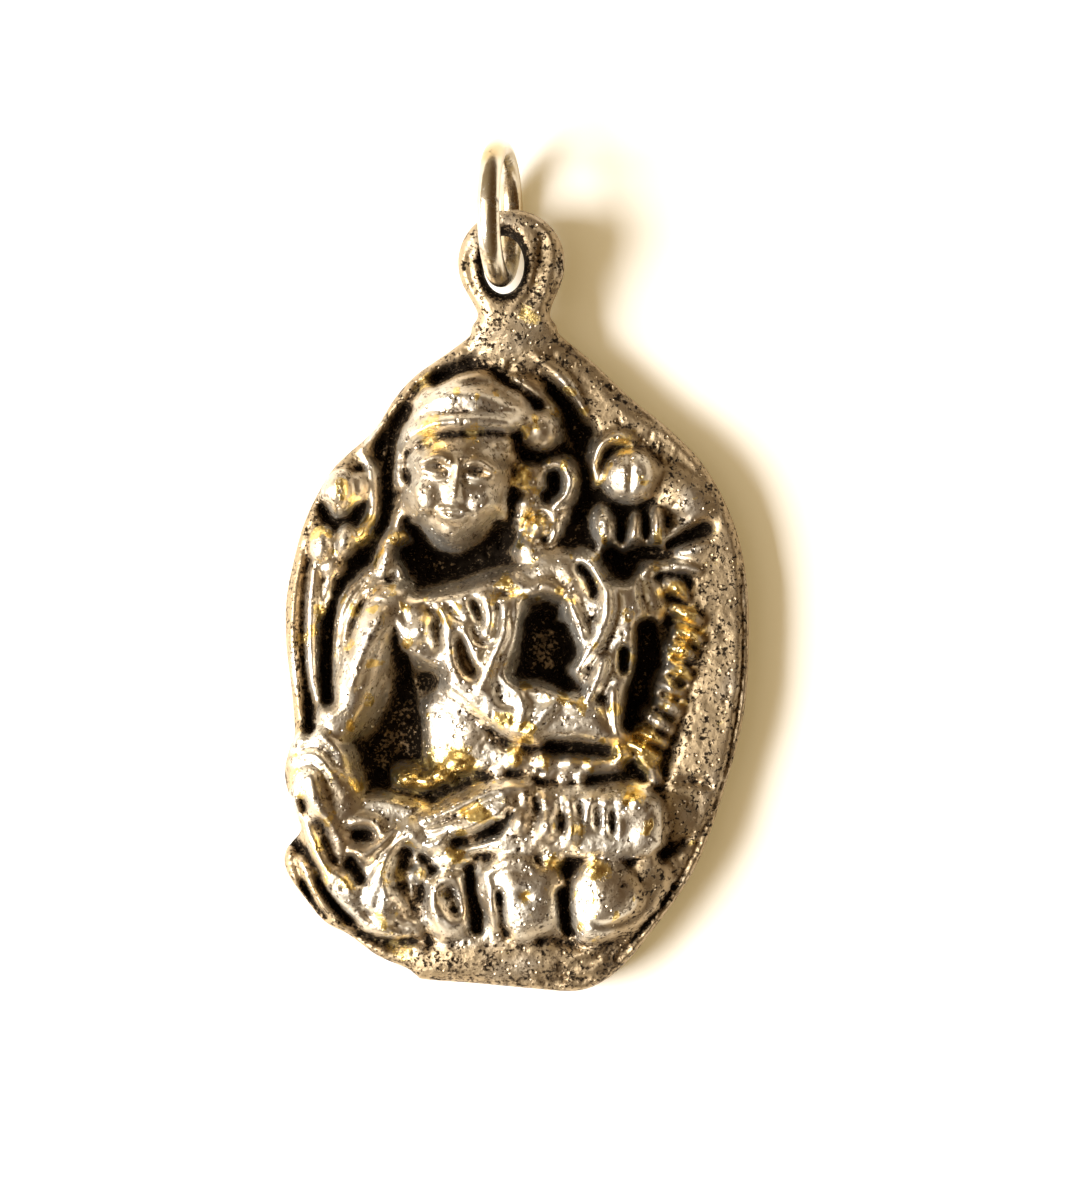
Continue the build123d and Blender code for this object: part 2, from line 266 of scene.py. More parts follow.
# Crown: three bands with dark creases between, leaves of hair combed back to the right
dome(-2.3, 12.7, 3.5, 2.1, 6.3, 3.2, turn=-4)
dome(-2.6, 13.5, 2.9, 1.7, 5.0, 2.6)
ridge([(-5.7, 11.6), (-4.2, 12.3), (-2.4, 12.4), (-0.4, 12.2), (0.5, 12.0)], [5.6, 6.9, 7.0, 6.4, 4.8], 0.42)
ridge([(-5.0, 13.0), (-3.6, 13.6), (-1.8, 13.5), (0.2, 12.9)], [5.2, 6.3, 6.3, 5.0], 0.5)
ridge([(-4.2, 14.1), (-2.8, 14.7), (-1.6, 14.6)], [4.2, 4.8, 4.4], 0.4)
groove([(-4.4, 12.7), (-3.2, 12.85), (-2.2, 12.85)], [0.5, 0.8, 0.5], 0.16)
groove([(-1.9, 13.05), (-0.6, 12.95), (0.7, 12.9)], 0.45, 0.14)
groove([(-5.4, 11.3), (-3.8, 11.75), (-2.2, 11.85), (-0.9, 11.85), (0.2, 11.7)], [0.3, 0.5, 0.9, 1.5, 1.6], 0.2)
groove([(-3.6, 14.25), (-2.0, 14.5), (-1.2, 14.3), (0.3, 13.5)], [0.3, 0.8, 0.8], 0.16)
dome(0.9, 14.0, 1.9, 0.95, 3.3, 2.0, turn=-32)
for step in range(5):
    off = 0.33 * step
    groove([(-1.3 + off * 0.5, 14.95 - off), (0.2 + off * 0.5, 14.3 - off), (1.7 + off * 0.3, 13.2 - off * 0.7)],
           0.55, 0.11)
ridge([(-0.1, 14.9), (1.0, 14.4), (2.0, 13.5)], 3.1, 0.2)
ridge([(-6.3, 11.3), (-6.5, 10.3), (-6.2, 9.4), (-5.9, 8.9)], [3.1, 3.6, 3.6], 0.27)
ridge([(-5.9, 8.9), (-6.1, 7.9), (-6.35, 7.0)], 3.5, 0.22)
groove([(-5.75, 11.2), (-5.85, 10.0), (-5.6, 8.8), (-5.0, 7.2)], 0.6, 0.14)

# Hair knot, ear pieces and the round flower at the shoulder
dome(1.25, 12.0, 1.15, 1.15, 4.7, 3.0)
groove([(0.15, 12.2), (0.1, 11.3), (0.6, 10.7), (1.6, 10.6), (2.4, 10.9)], 1.3, 0.26)
dome(0.6, 9.6, 1.1, 0.95, 4.1, 2.4, turn=-15)
ridge([(-0.4, 9.5), (0.3, 9.15), (1.2, 9.1)], 4.0, 0.22)
ridge([(1.7, 10.2), (2.5, 10.2), (2.9, 9.4), (2.7, 8.6), (2.2, 8.1)], 3.8, 0.26)
groove([(2.05, 9.8), (2.1, 8.7)], 1.3, 0.22)
dome(0.6, 8.2, 0.9, 0.7, 3.8, 2.4, turn=30)
dome(2.2, 7.6, 0.8, 0.7, 3.4, 2.2)
dome(1.15, 6.9, 1.4, 1.4, 3.9, 2.6)
groove(smooth_path([(1.15 + 0.72 * math.cos(a), 6.85 + 0.72 * math.sin(a)) for a in np.linspace(0.4, 6.0, 9)]),
       1.15, 0.2)
dome(1.15, 6.9, 0.5, 0.5, 4.2, 3.2)
dome(0.7, 5.6, 1.0, 0.9, 4.0, 2.6, turn=-40)
dome(1.6, 5.2, 0.7, 0.6, 3.9, 2.8)
dome(-6.85, 5.4, 0.62, 1.65, 4.2, 2.6, turn=-16)
groove([(-7.25, 4.6), (-7.2, 5.4), (-6.8, 6.1), (-6.6, 5.3), (-6.9, 4.5)], 0.3, 0.1)
dome(-6.1, 5.4, 0.45, 1.4, 3.9, 2.6, turn=-4)

hollow([(-5.9, 13.2), (-6.6, 12.0), (-6.9, 10.0), (-6.95, 8.4)], 1.3, [0.04, 0.14, 0.14, 0.1], 6.0)
hollow([(-5.6, 5.4), (-4.6, 4.5), (-3.0, 4.4), (-1.6, 5.2), (-0.6, 6.4)], 0.9, [0.3, 0.7, 0.8, 0.6, 0.3], 4.0)
hollow([(1.9, 14.3), (2.8, 13.3), (3.5, 12.0), (3.85, 10.4), (3.8, 8.8), (3.3, 7.4)],
       1.0, [0.06, 0.2, 0.2, 0.12, 0.14, 0.2], 6.0)
hollow([(-4.4, 14.75), (-3.2, 15.35), (-1.6, 15.6), (0.2, 15.4)], 1.6, 0.06, 6.0)


# ---------------------------------------------------------------------------------------------------------
# Chest, sash and belly: the sash crosses from the shoulder to the hip in deep folds, over a rough bare belly.
# The raised hand and the cuff stand round a black hollow at the breast.
pad([(-7.0, 3.1), (-5.8, 3.3), (-4.0, 2.9), (-2.5, 3.3), (-1.2, 3.8), (0.1, 4.3), (0.9, 3.8), (0.4, 2.6), (0.2, 1.2),
     (-0.2, 0.0), (-0.6, -1.2), (0.6, -1.8), (2.2, -1.9), (3.4, -2.6), (4.6, -2.6), (5.0, -3.6), (5.4, -4.4),
     (3.0, -4.6), (0.8, -4.4), (-0.9, -3.4), (-2.5, -2.2), (-3.6, -1.6), (-4.2, -0.4), (-5.4, 0.3), (-6.2, 1.6),
     (-6.8, 2.2)], 4.95, 1.0)
pad([(0.4, 4.3), (1.2, 5.3), (2.4, 5.6), (3.4, 5.3), (4.4, 4.9), (5.6, 4.6), (6.3, 3.2), (6.5, 1.0), (6.4, -0.8),
     (5.9, -2.4), (6.0, -4.3), (4.9, -4.4), (4.4, -2.8), (4.2, -1.8), (3.6, -0.9), (3.6, 0.4), (3.3, 1.8),
     (2.6, 2.8), (1.6, 3.2), (0.9, 3.6)], 4.3, 0.9)
pad([(-0.2, -4.6), (-0.9, -3.2), (-2.4, -2.2), (-3.6, -1.8), (-4.6, -3.2), (-4.9, -5.0), (-4.2, -6.2), (-1.0, -6.4),
     (2.6, -6.6), (5.8, -6.2), (5.4, -5.4), (2.4, -5.2)], 3.6, 1.2, lean=(0.05, -0.05))
dome(-2.6, -3.6, 2.6, 2.6, 3.9, 2.0)
dome(-2.6, 0.6, 3.6, 2.6, 4.6, 2.2, turn=-38)
dome(0.4, -5.6, 4.6, 1.3, 3.3, 2.0)
ridge([(-5.9, 2.75), (-4.0, 2.85), (-2.6, 3.1), (-1.4, 3.6), (-0.1, 4.2)], [4.8, 4.7, 4.8, 4.7, 4.5], 0.36)
dome(-5.1, 1.3, 0.95, 1.1, 5.5, 3.6, turn=-45)
ridge([(-6.3, 2.1), (-5.8, 1.0), (-5.1, 0.1), (-4.1, -0.3)], [5.0, 5.0, 4.8, 4.6], 0.34)
ridge([(-3.9, 2.4), (-3.6, 1.4), (-3.55, 0.2), (-3.2, -1.0), (-2.4, -1.7)], [5.2, 5.3, 5.2, 5.2, 5.1],
      [0.45, 0.35, 0.35, 0.4])
ridge([(-3.1, 1.9), (-2.5, 1.0), (-2.2, 0.1), (-1.7, -0.9)], [5.2, 5.3, 5.3, 5.2], 0.36)
ridge([(-1.6, 3.1), (-1.3, 2.0), (-1.6, 1.0), (-1.9, 0.3)], 5.3, 0.34)
ridge([(-0.55, 2.6), (-0.55, 1.4), (-0.9, 0.3), (-1.4, -0.7), (-1.9, -1.7)], [5.2, 5.5, 5.6, 5.5, 5.3], 0.44)
ridge([(-0.05, 3.2), (0.0, 2.0), (-0.05, 1.0), (-0.5, 0.0), (-0.8, -0.9), (-0.5, -1.5), (0.2, -1.9)], 5.0, 0.24)
ridge([(-3.4, -1.5), (-2.3, -2.3), (-1.2, -3.1), (0.0, -3.9), (0.9, -4.2)], 5.1, [0.4, 0.5, 0.5, 0.45])
ridge([(-2.0, -1.9), (-1.0, -2.5), (-0.2, -3.1)], 5.2, 0.5)
ridge([(0.2, -2.1), (0.4, -2.9), (0.2, -3.6)], 5.4, 0.34)
groove([(-4.9, 2.55), (-4.5, 2.3), (-4.1, 2.05)], 0.9, 0.18)
groove([(-4.25, 1.9), (-4.3, 1.1), (-4.1, 0.3)], 0.9, 0.3)
groove([(-3.75, 2.6), (-3.3, 2.1), (-2.9, 1.8)], 0.9, 0.14)
groove([(-3.0, 0.8), (-2.85, 0.1), (-2.6, -0.5), (-2.25, -0.95)], [1.4, 2.0, 2.0], 0.25)
groove([(-2.35, 2.9), (-2.1, 2.4), (-1.85, 1.7)], [1.4, 1.6, 0.8], 0.2)
groove([(-2.35, 1.45), (-2.0, 0.8), (-1.5, 0.65)], 1.2, 0.16)
groove([(-1.05, 2.9), (-1.0, 1.9), (-1.1, 1.1)], 0.7, 0.16)
groove([(-0.3, 2.3), (-0.3, 1.1), (-0.75, 0.0), (-1.1, -0.9)], 0.55, 0.14)
groove([(-0.9, -1.6), (-0.9, -2.3), (-0.4, -2.7)], 0.6, 0.2)
groove([(-0.9, 3.3), (-0.4, 3.25), (0.1, 3.4)], 1.0, 0.16)
hollow([(1.3, 1.5), (1.4, 0.6), (1.3, -0.4)], 1.0, [0.7, 0.95, 0.9], 8.0)
hollow([(0.7, -0.9), (1.9, -1.2), (2.8, -1.8)], 1.0, [0.4, 0.5, 0.25], 8.0)
hollow([(2.2, 1.7), (2.45, 0.6), (2.3, -0.6)], 1.0, 0.4, 8.0)
dome(1.0, 4.3, 1.9, 0.9, 4.2, 2.6, turn=12)
dome(2.9, 4.0, 1.3, 1.5, 4.6, 2.8, turn=10)
ridge([(0.7, 3.4), (1.5, 3.7), (2.3, 3.4)], 4.9, 0.4)
ridge([(2.9, 3.0), (3.2, 2.1), (3.5, 1.2), (3.55, 0.7)], [5.0, 5.3, 5.1], 0.26)
dome(4.1, 2.6, 0.7, 1.5, 4.5, 3.0)
ridge([(3.5, 5.1), (4.2, 4.7), (4.75, 3.8), (4.85, 2.8), (4.75, 1.9), (4.4, 1.0), (3.8, 0.1), (3.35, -0.5),
       (3.3, -1.0)], [4.6, 5.4, 5.6, 5.5, 5.3, 5.0], 0.3)
groove([(3.35, 4.8), (3.9, 4.2), (4.3, 3.3)], 1.4, 0.25)
ridge([(4.3, 1.6), (4.7, 1.7)], 5.4, 0.2)
ridge([(4.65, -0.25), (4.4, -1.1), (4.1, -1.8), (3.8, -2.3)], 5.3, 0.25)
ridge([(-0.1, -1.95), (1.0, -1.95), (2.2, -2.15), (2.9, -2.6), (3.5, -2.95), (4.2, -2.8)], [4.9, 5.2, 5.3, 5.2], 0.33)
dome(1.2, -2.8, 1.3, 0.7, 4.9, 3.6)
ridge([(0.7, -4.05), (1.2, -3.5), (1.6, -3.0), (2.1, -2.6)], 5.4, 0.36)
dome(3.3, -3.6, 2.0, 0.8, 4.7, 3.8, square=0.3)
ridge([(1.1, -4.4), (2.6, -4.35), (4.2, -4.35), (5.2, -4.3)], 4.6, 0.34)
hollow([(0.6, -0.85), (1.6, -0.95), (2.7, -1.5)], 1.0, [0.2, 0.25, 0.2], 9.0)
hollow([(2.35, 1.3), (2.7, 0.2), (2.3, -0.5), (2.4, -1.1)], 1.0, [0.3, 0.33, 0.28, 0.2], 9.0)


# ---------------------------------------------------------------------------------------------------------
# The arms: one comes down in tight sleeves to the knee, where two bracelets ring the wrist, and the other is
# bent beside the breast. Each is a long rounded bar with the sleeve's folds beside it.
hollow([(-6.4, -0.6), (-6.5, -3.0), (-6.8, -5.2), (-8.0, -6.2)], 0.8, [0.45, 1.2, 1.6, 0.8], 6.0)
hollow([(-6.3, -6.8), (-4.4, -7.5), (-2.4, -7.2)], 1.2, 0.3)
pad([(-6.4, 3.4), (-7.5, 4.5), (-8.8, 3.7), (-9.5, 2.0), (-9.8, 0.0), (-9.9, -2.0), (-10.4, -3.8), (-9.4, -4.6),
     (-8.7, -3.0), (-8.0, -1.2), (-7.2, 0.7), (-6.6, 2.2)], 3.7, 0.7)
pad([(-12.0, -4.6), (-10.8, -3.9), (-9.5, -4.5), (-8.8, -6.0), (-8.2, -7.6), (-8.6, -9.0), (-9.6, -9.4),
     (-11.2, -8.9), (-12.0, -7.2), (-12.2, -5.8)], 4.6, 1.1)
ridge([(-6.5, 2.9), (-7.4, 1.8), (-8.1, 0.2), (-8.6, -1.4), (-9.1, -2.8), (-9.7, -4.0)],
      [5.0, 5.4, 5.3, 5.1, 4.9, 4.6], [0.8, 1.0, 1.05, 0.95, 0.85], tip=0.9, full=0.9, draft=2.5)
ridge([(-6.0, 3.3), (-6.9, 3.3), (-7.7, 2.6), (-8.2, 1.6)], [4.6, 4.9, 4.8], 0.35)
ridge([(-7.1, 2.3), (-7.7, 1.2), (-8.3, -0.2), (-8.7, -1.6)], [5.6, 5.7, 5.5], 0.42)
ridge([(-7.6, 4.55), (-8.5, 3.6), (-9.2, 2.3), (-9.6, 0.8), (-9.75, -0.8), (-9.5, -2.1)],
      [3.4, 3.8, 3.9, 3.9, 4.2], 0.24)
ridge([(-7.5, 3.95), (-8.35, 3.0), (-8.95, 1.7), (-9.2, 0.3), (-9.15, -0.5)], [3.9, 4.2, 4.3], 0.2)
groove([(-7.9, 4.1), (-8.75, 3.0), (-9.3, 1.6), (-9.45, 0.0), (-9.4, -1.2)], 0.6, 0.12)
groove([(-8.0, 3.2), (-8.6, 2.0), (-8.85, 0.9), (-8.9, 0.0)], 0.9, 0.17)
groove([(-8.1, 2.9), (-7.6, 2.9), (-7.0, 2.8)], 0.3, 0.12)
dome(-9.7, -3.2, 0.9, 0.9, 4.9, 3.4)
dome(-8.6, -1.6, 0.3, 0.25, 5.3, 4.9)
dome(-11.0, -5.6, 1.5, 1.7, 4.6, 2.2, turn=20)
ridge([(-11.8, -4.75), (-11.1, -4.25), (-10.4, -4.25), (-9.8, -4.75), (-9.3, -5.5), (-9.0, -6.2)],
      [4.2, 4.9, 5.0, 4.8, 4.0], 0.3)
ridge([(-12.1, -5.9), (-11.5, -5.35), (-10.7, -5.25), (-10.1, -5.75), (-9.6, -6.6), (-9.1, -7.5), (-8.9, -8.2)],
      [4.0, 4.8, 5.1, 5.0, 4.6, 4.2], 0.33)
groove([(-12.0, -5.45), (-11.3, -4.95), (-10.6, -4.95), (-10.0, -5.35), (-9.6, -6.0)], 0.7, 0.13)
groove([(-12.2, -6.5), (-11.6, -5.95), (-10.9, -5.85), (-10.4, -6.3)], 0.45, 0.13)
dome(-10.95, -6.9, 1.1, 1.5, 5.2, 3.2, turn=12)
ridge([(-10.9, -6.4), (-10.7, -7.4), (-10.3, -8.3), (-9.8, -9.2)], [5.4, 5.5, 5.2, 4.8], 0.42)
ridge([(-11.7, -6.9), (-11.75, -7.8), (-11.5, -8.7)], [4.6, 4.7, 4.2], 0.3)
groove([(-11.45, -7.6), (-11.35, -8.4)], 0.9, 0.18)
groove([(-10.5, -8.7), (-9.9, -9.6), (-9.6, -10.4)], 0.9, 0.2)
ridge([(5.0, 5.6), (5.6, 4.2), (5.75, 2.6), (5.8, 1.0), (5.7, -0.6), (5.4, -2.2), (5.4, -3.9)],
      [3.9, 4.6, 4.7, 4.6, 4.4, 4.4, 4.2], [0.8, 0.9, 0.85, 0.75, 0.65, 0.55, 0.5], full=0.7, draft=5.0)
ridge([(6.4, 3.4), (6.6, 2.0), (6.5, 0.6), (6.5, -0.3), (6.2, -1.1)], [4.2, 4.4, 4.5, 4.4, 4.1], 0.2)
hollow([(5.8, 0.2), (5.78, -0.7)], 2.4, 0.12, 9.0)
ridge([(5.2, -1.9), (5.25, -3.0), (5.55, -4.2)], 4.8, 0.3)
dome(5.35, -1.4, 0.3, 0.3, 4.6, 4.1)
dome(7.2, 3.0, 0.9, 1.5, 3.7, 2.2, turn=14)
dome(6.7, 4.5, 1.2, 0.6, 3.5, 2.2, turn=10)
hollow([(7.1, 1.3), (7.25, -0.6), (6.9, -2.2), (6.4, -3.6)], 0.8, [0.35, 0.65, 0.7, 0.35], 7.0)


# ---------------------------------------------------------------------------------------------------------
# The belt of rough brass beads and the legs under it: one folded flat, its hem in pleats, the other stepping
# down on the left in long diagonal folds to the foot.
beads = [(-5.8, -6.6, 0.6, 0.42), (-4.8, -6.75, 0.6, 0.45), (-4.0, -6.35, 0.6, 0.5), (-3.1, -5.75, 0.8, 0.6),
         (-0.05, -5.5, 0.6, 0.75), (1.45, -5.7, 0.65, 0.65), (2.9, -5.75, 0.6, 0.5), (4.0, -5.9, 0.5, 0.35),
         (5.55, -5.35, 0.6, 0.5)]
for x, y, half_x, half_y in beads:
    dome(x, y, half_x, half_y, 4.1, 3.2)
for x, y in [(0.7, -6.5), (1.7, -6.5), (2.6, -6.6), (3.4, -6.55), (-0.9, -6.3), (-1.7, -5.8)]:
    dome(x, y, 0.5, 0.3, 3.7, 3.0)
hollow([(1.9, -4.95), (3.4, -5.0), (4.9, -5.2)], 2.2, 0.1, 4.0)
pad([(-8.6, -7.9), (-6.6, -7.9), (-5.2, -8.6), (-4.9, -10.2), (-5.3, -12.4), (-6.3, -14.5), (-7.8, -14.5),
     (-9.2, -13.7), (-10.5, -12.0), (-11.3, -10.0), (-11.4, -8.9), (-9.8, -9.2)], 4.0, 1.0)
pad([(-5.2, -8.8), (-3.0, -7.9), (-1.0, -7.0), (2.0, -7.1), (5.0, -7.1), (7.4, -7.6), (7.9, -9.0), (7.6, -10.6),
     (6.0, -11.0), (3.5, -10.9), (0.0, -10.8), (-2.0, -10.6), (-4.4, -10.9), (-5.2, -10.1)], 4.5, 1.0)
dome(1.5, -8.7, 6.6, 2.0, 4.5, 2.4, turn=0, square=0.4)
dome(-6.3, -8.7, 3.2, 1.3, 3.8, 2.2, turn=-3)
ridge([(-8.8, -8.0), (-7.2, -8.0), (-5.6, -8.3)], [3.8, 3.9, 4.0], 0.45)
ridge([(-4.9, -8.8), (-3.4, -8.25), (-2.0, -7.6), (-0.7, -7.15), (0.6, -7.05)], [4.8, 5.0, 5.0, 4.8], 0.28)
ridge([(-4.6, -9.35), (-3.0, -8.85), (-1.6, -8.1), (-0.6, -7.55)], [5.0, 5.1, 5.0], 0.24)
groove([(-4.7, -9.05), (-3.2, -8.55), (-1.9, -7.85), (-0.9, -7.4)], 0.4, 0.1)
ridge([(-4.6, -10.15), (-3.5, -9.7), (-2.2, -9.15), (-1.2, -8.6), (-0.5, -7.9)], [5.1, 5.4, 5.4, 5.2], 0.4)
hollow([(-3.2, -10.05), (-2.0, -9.75), (-1.0, -9.2)], 3.6, 0.14, 3.0)
groove([(-1.2, -9.5), (-0.6, -8.8), (-0.35, -8.3)], 0.9, 0.2)
pleats = [(0.25, -8.9, 0.55, 0.75, 5.3), (1.6, -9.15, 0.65, 0.85, 5.35), (2.95, -9.35, 0.45, 1.05, 5.3),
          (3.8, -8.5, 0.45, 0.9, 4.8), (4.7, -8.85, 0.27, 0.7, 5.0), (5.5, -9.15, 0.27, 0.7, 4.95)]
for x, y, half_x, half_y, top in pleats:
    dome(x, y, half_x, half_y, top, top - 1.2, turn=-6)
for x, y in [(-0.3, -7.5), (0.5, -7.6), (1.55, -7.75), (2.8, -7.85), (4.0, -7.8), (4.8, -7.9), (5.6, -7.8),
             (6.4, -7.8)]:
    dome(x, y, 0.38, 0.4, 4.85, 4.0)
for x, top, bottom in [(1.0, -7.5, -8.5), (2.35, -7.7, -9.3), (3.35, -7.9, -8.5), (4.3, -8.0, -9.3),
                       (5.1, -8.2, -9.6)]:
    groove([(x, top), (x + 0.1, bottom)], 0.75, 0.17)
ridge([(-0.9, -10.2), (0.6, -10.35), (2.1, -10.3), (3.2, -10.1)], 4.5, [0.3, 0.4, 0.4])
dome(4.6, -10.0, 1.4, 0.9, 4.1, 3.0, turn=-8)
dome(6.75, -9.5, 1.05, 1.3, 4.7, 3.0)
ridge([(6.9, -10.2), (6.85, -11.4), (6.7, -12.6), (6.2, -13.6)], [4.0, 3.9, 3.7, 3.3], [0.8, 0.9, 0.9, 0.6])
groove([(6.2, -10.95), (7.1, -10.9)], 0.3, 0.15)
ridge([(4.0, -7.1), (5.5, -7.15), (7.2, -7.0)], [3.4, 3.5, 3.0], 0.3)
dome(8.3, -8.6, 1.6, 1.4, 3.1, 2.2)
groove([(7.4, -10.5), (8.4, -10.5), (9.4, -9.8)], 0.6, 0.3)
groove([(8.6, -6.75), (9.6, -6.8), (10.6, -7.1)], 0.5, 0.22)

dome(-9.3, -11.0, 2.0, 3.3, 3.7, 2.0, turn=35)
dome(-5.5, -9.7, 0.75, 0.8, 5.1, 3.8)
ridge([(-5.6, -9.1), (-6.3, -10.2), (-7.0, -11.3), (-7.5, -12.4), (-7.8, -13.3)], [4.8, 4.8, 4.7, 4.5, 4.1], 0.5)
ridge([(-6.3, -11.1), (-6.75, -12.1), (-7.0, -13.1), (-7.0, -14.0)], [4.7, 4.7, 4.4, 3.9], 0.28)
ridge([(-8.6, -10.6), (-7.9, -10.6), (-7.1, -10.1), (-6.4, -9.4)], [4.9, 4.8, 4.8], [0.45, 0.35, 0.25])
groove([(-7.5, -10.7), (-6.8, -10.15), (-6.25, -9.4)], 0.7, 0.15)
ridge([(-8.8, -8.95), (-8.2, -8.75), (-7.5, -8.9), (-7.2, -9.4)], 4.6, 0.28)
hollow([(-8.5, -9.6), (-7.9, -9.6)], 3.0, 0.12, 4.0)
hollow([(-8.9, -11.1), (-8.5, -11.9)], 2.7, 0.14, 4.0)
ridge([(-11.2, -9.0), (-10.7, -10.0), (-10.3, -11.0), (-9.8, -12.0), (-8.9, -13.1), (-8.0, -13.9)],
      [4.2, 4.5, 4.6, 4.5, 4.3, 3.8], [0.4, 0.4, 0.4, 0.5, 0.6])
ridge([(-9.9, -9.0), (-9.4, -9.9), (-9.3, -10.8)], [4.6, 4.4, 4.0], 0.35)
groove([(-10.3, -9.8), (-9.95, -10.7), (-9.6, -11.2)], 0.9, 0.2)
ridge([(-9.7, -11.6), (-9.2, -12.0), (-8.8, -12.7)], 4.6, 0.3)
ridge([(-12.1, -11.5), (-11.8, -12.6), (-11.0, -13.6), (-10.0, -14.4), (-9.1, -14.85)],
      [2.8, 3.0, 3.1, 3.0, 2.7], 0.33)
ridge([(-11.5, -11.0), (-10.9, -12.2), (-10.2, -13.3), (-9.5, -14.1), (-8.9, -14.6)], [3.2, 3.5, 3.6, 3.4, 3.0], 0.28)
groove([(-11.5, -12.3), (-11.1, -13.1), (-10.6, -13.8), (-10.1, -14.2)], 1.5, 0.22)
groove([(-10.7, -12.0), (-10.1, -13.0), (-9.4, -13.9), (-8.7, -14.5)], 1.7, 0.26)
groove([(-12.1, -9.95), (-11.4, -10.5), (-10.8, -11.2), (-10.4, -11.9)], 1.0, 0.22)
dome(-12.2, -10.75, 0.5, 0.5, 2.8, 2.0)
groove([(-8.2, -13.65), (-7.6, -14.25)], 0.9, 0.2)
dome(-6.3, -12.6, 0.9, 2.0, 3.5, 2.8, turn=-8, square=0.3)
groove([(-5.6, -10.7), (-5.4, -11.9), (-5.0, -13.2), (-4.4, -14.6)], [0.5, 0.9, 1.1, 0.9], 0.26)
ridge([(-8.7, -13.6), (-7.8, -14.45), (-6.6, -14.85), (-5.2, -14.8)], [3.4, 3.6, 3.6, 3.2], 0.28)
ridge([(-6.8, -13.9), (-6.0, -14.2), (-5.4, -14.4)], 3.6, 0.3)
dome(-5.1, -11.7, 0.35, 0.5, 4.3, 3.6)
hollow([(-5.9, -10.7), (-6.1, -12.0), (-5.7, -13.3)], 3.0, [0.1, 0.2, 0.1], 2.2)


# ---------------------------------------------------------------------------------------------------------
# The lotus seat: three large cupped petals and the plain foot below them, which slopes to the plate's edge.
# The tips of the petals behind stand up between as small brass-bright knobs.
dome(-0.3, -13.2, 7.0, 2.6, 3.3, 2.2, turn=-2, square=0.4)
dome(-0.8, -16.0, 5.6, 1.6, 3.0, 2.2, square=0.5)
pad([(-4.9, -12.4), (-4.2, -11.7), (-3.2, -11.6), (-2.4, -12.2), (-2.1, -13.4), (-2.3, -14.5), (-3.1, -15.2),
     (-4.0, -15.1), (-4.6, -14.0)], 4.6, 1.5, lean=(-0.2, 0.16))
pad([(-1.3, -11.9), (-0.6, -11.1), (0.8, -11.0), (2.2, -11.2), (2.65, -12.3), (2.6, -13.6), (2.2, -14.8),
     (0.8, -15.4), (-0.3, -15.3), (-0.9, -14.0)], 4.75, 1.7, lean=(-0.15, 0.16))
pad([(3.1, -12.0), (3.9, -11.1), (5.6, -11.0), (6.8, -11.9), (7.0, -13.2), (6.4, -14.3), (5.2, -15.1),
     (3.8, -15.4), (3.2, -14.6)], 4.85, 1.8, lean=(-0.15, 0.16))
pad([(6.3, -10.8), (7.6, -10.9), (8.3, -11.7), (7.9, -13.0), (7.1, -14.0), (6.7, -12.6)], 3.5, 0.8)
ridge([(-4.5, -12.3), (-4.5, -13.3), (-4.2, -14.3), (-3.8, -15.0)], [4.2, 4.6, 4.4, 3.6], 0.36)
ridge([(-4.5, -12.2), (-3.7, -11.85), (-2.8, -12.2), (-2.3, -13.1), (-2.3, -14.0)], [4.3, 4.5, 4.5, 4.2, 3.6], 0.3)
dome(-3.2, -13.6, 1.0, 1.5, 3.7, 3.0, turn=10)
groove([(-3.9, -12.5), (-3.2, -12.7), (-2.8, -13.5)], 0.4, 0.2)
dome(-3.8, -12.75, 0.3, 0.25, 4.0, 3.6)
hollow([(-3.55, -12.8), (-3.2, -13.7)], 3.3, 0.12, 2.2)
hollow([(-2.35, -11.9), (-2.2, -13.0), (-2.1, -14.7)], 1.9, [0.08, 0.12, 0.14], 4.5)
groove([(-5.0, -12.4), (-4.8, -13.6), (-4.2, -14.8)], 0.8, 0.2)
dome(-3.4, -10.9, 1.2, 0.55, 4.3, 3.4, turn=8)
dome(-1.7, -12.2, 0.55, 1.6, 4.0, 3.0, turn=8)
ridge([(-1.6, -11.7), (-1.25, -12.6), (-1.2, -13.6), (-1.1, -14.6)], [4.4, 4.6, 4.4, 3.6], 0.28)
ridge([(-1.5, -11.6), (-0.5, -11.05), (0.5, -11.1), (1.2, -11.7)], [4.5, 4.8, 4.8, 4.4], 0.42)
groove([(-0.95, -12.5), (-0.8, -13.5), (-0.55, -14.4), (-0.4, -15.0)], [0.8, 1.7, 2.0, 1.6], 0.19)
ridge([(-0.35, -12.4), (-0.3, -13.4), (-0.1, -14.4), (0.1, -15.0)], [4.5, 4.6, 4.2, 3.5], 0.3)
dome(0.9, -13.2, 1.0, 1.4, 3.9, 3.1)
ridge([(0.1, -11.9), (0.8, -12.0), (1.1, -12.5)], 4.5, 0.3)
groove([(0.3, -12.7), (0.7, -12.9)], 0.5, 0.2)
dome(2.0, -12.6, 0.75, 1.4, 4.3, 3.0, turn=-4)
dome(1.9, -10.85, 0.65, 0.3, 4.5, 3.7)
hollow([(2.75, -12.9), (2.8, -13.8), (2.85, -14.8)], 1.6, 0.16, 5.0)
groove([(1.2, -15.3), (2.4, -15.4), (3.4, -15.7)], 0.6, 0.22)
dome(4.9, -12.9, 1.5, 1.95, 4.4, 3.0, turn=-6)
ridge([(3.3, -12.1), (3.4, -13.2), (3.55, -14.3), (3.8, -15.1)], [4.4, 4.5, 4.2, 3.5], 0.34)
ridge([(3.6, -15.2), (4.6, -15.0), (5.7, -14.5), (6.6, -14.0), (7.0, -13.4)], [3.6, 3.7, 3.6, 3.3], 0.32)
ridge([(3.9, -13.95), (4.6, -13.85), (5.4, -13.65)], 4.35, 0.14)
ridge([(4.0, -13.1), (4.2, -13.7)], 4.5, 0.2)
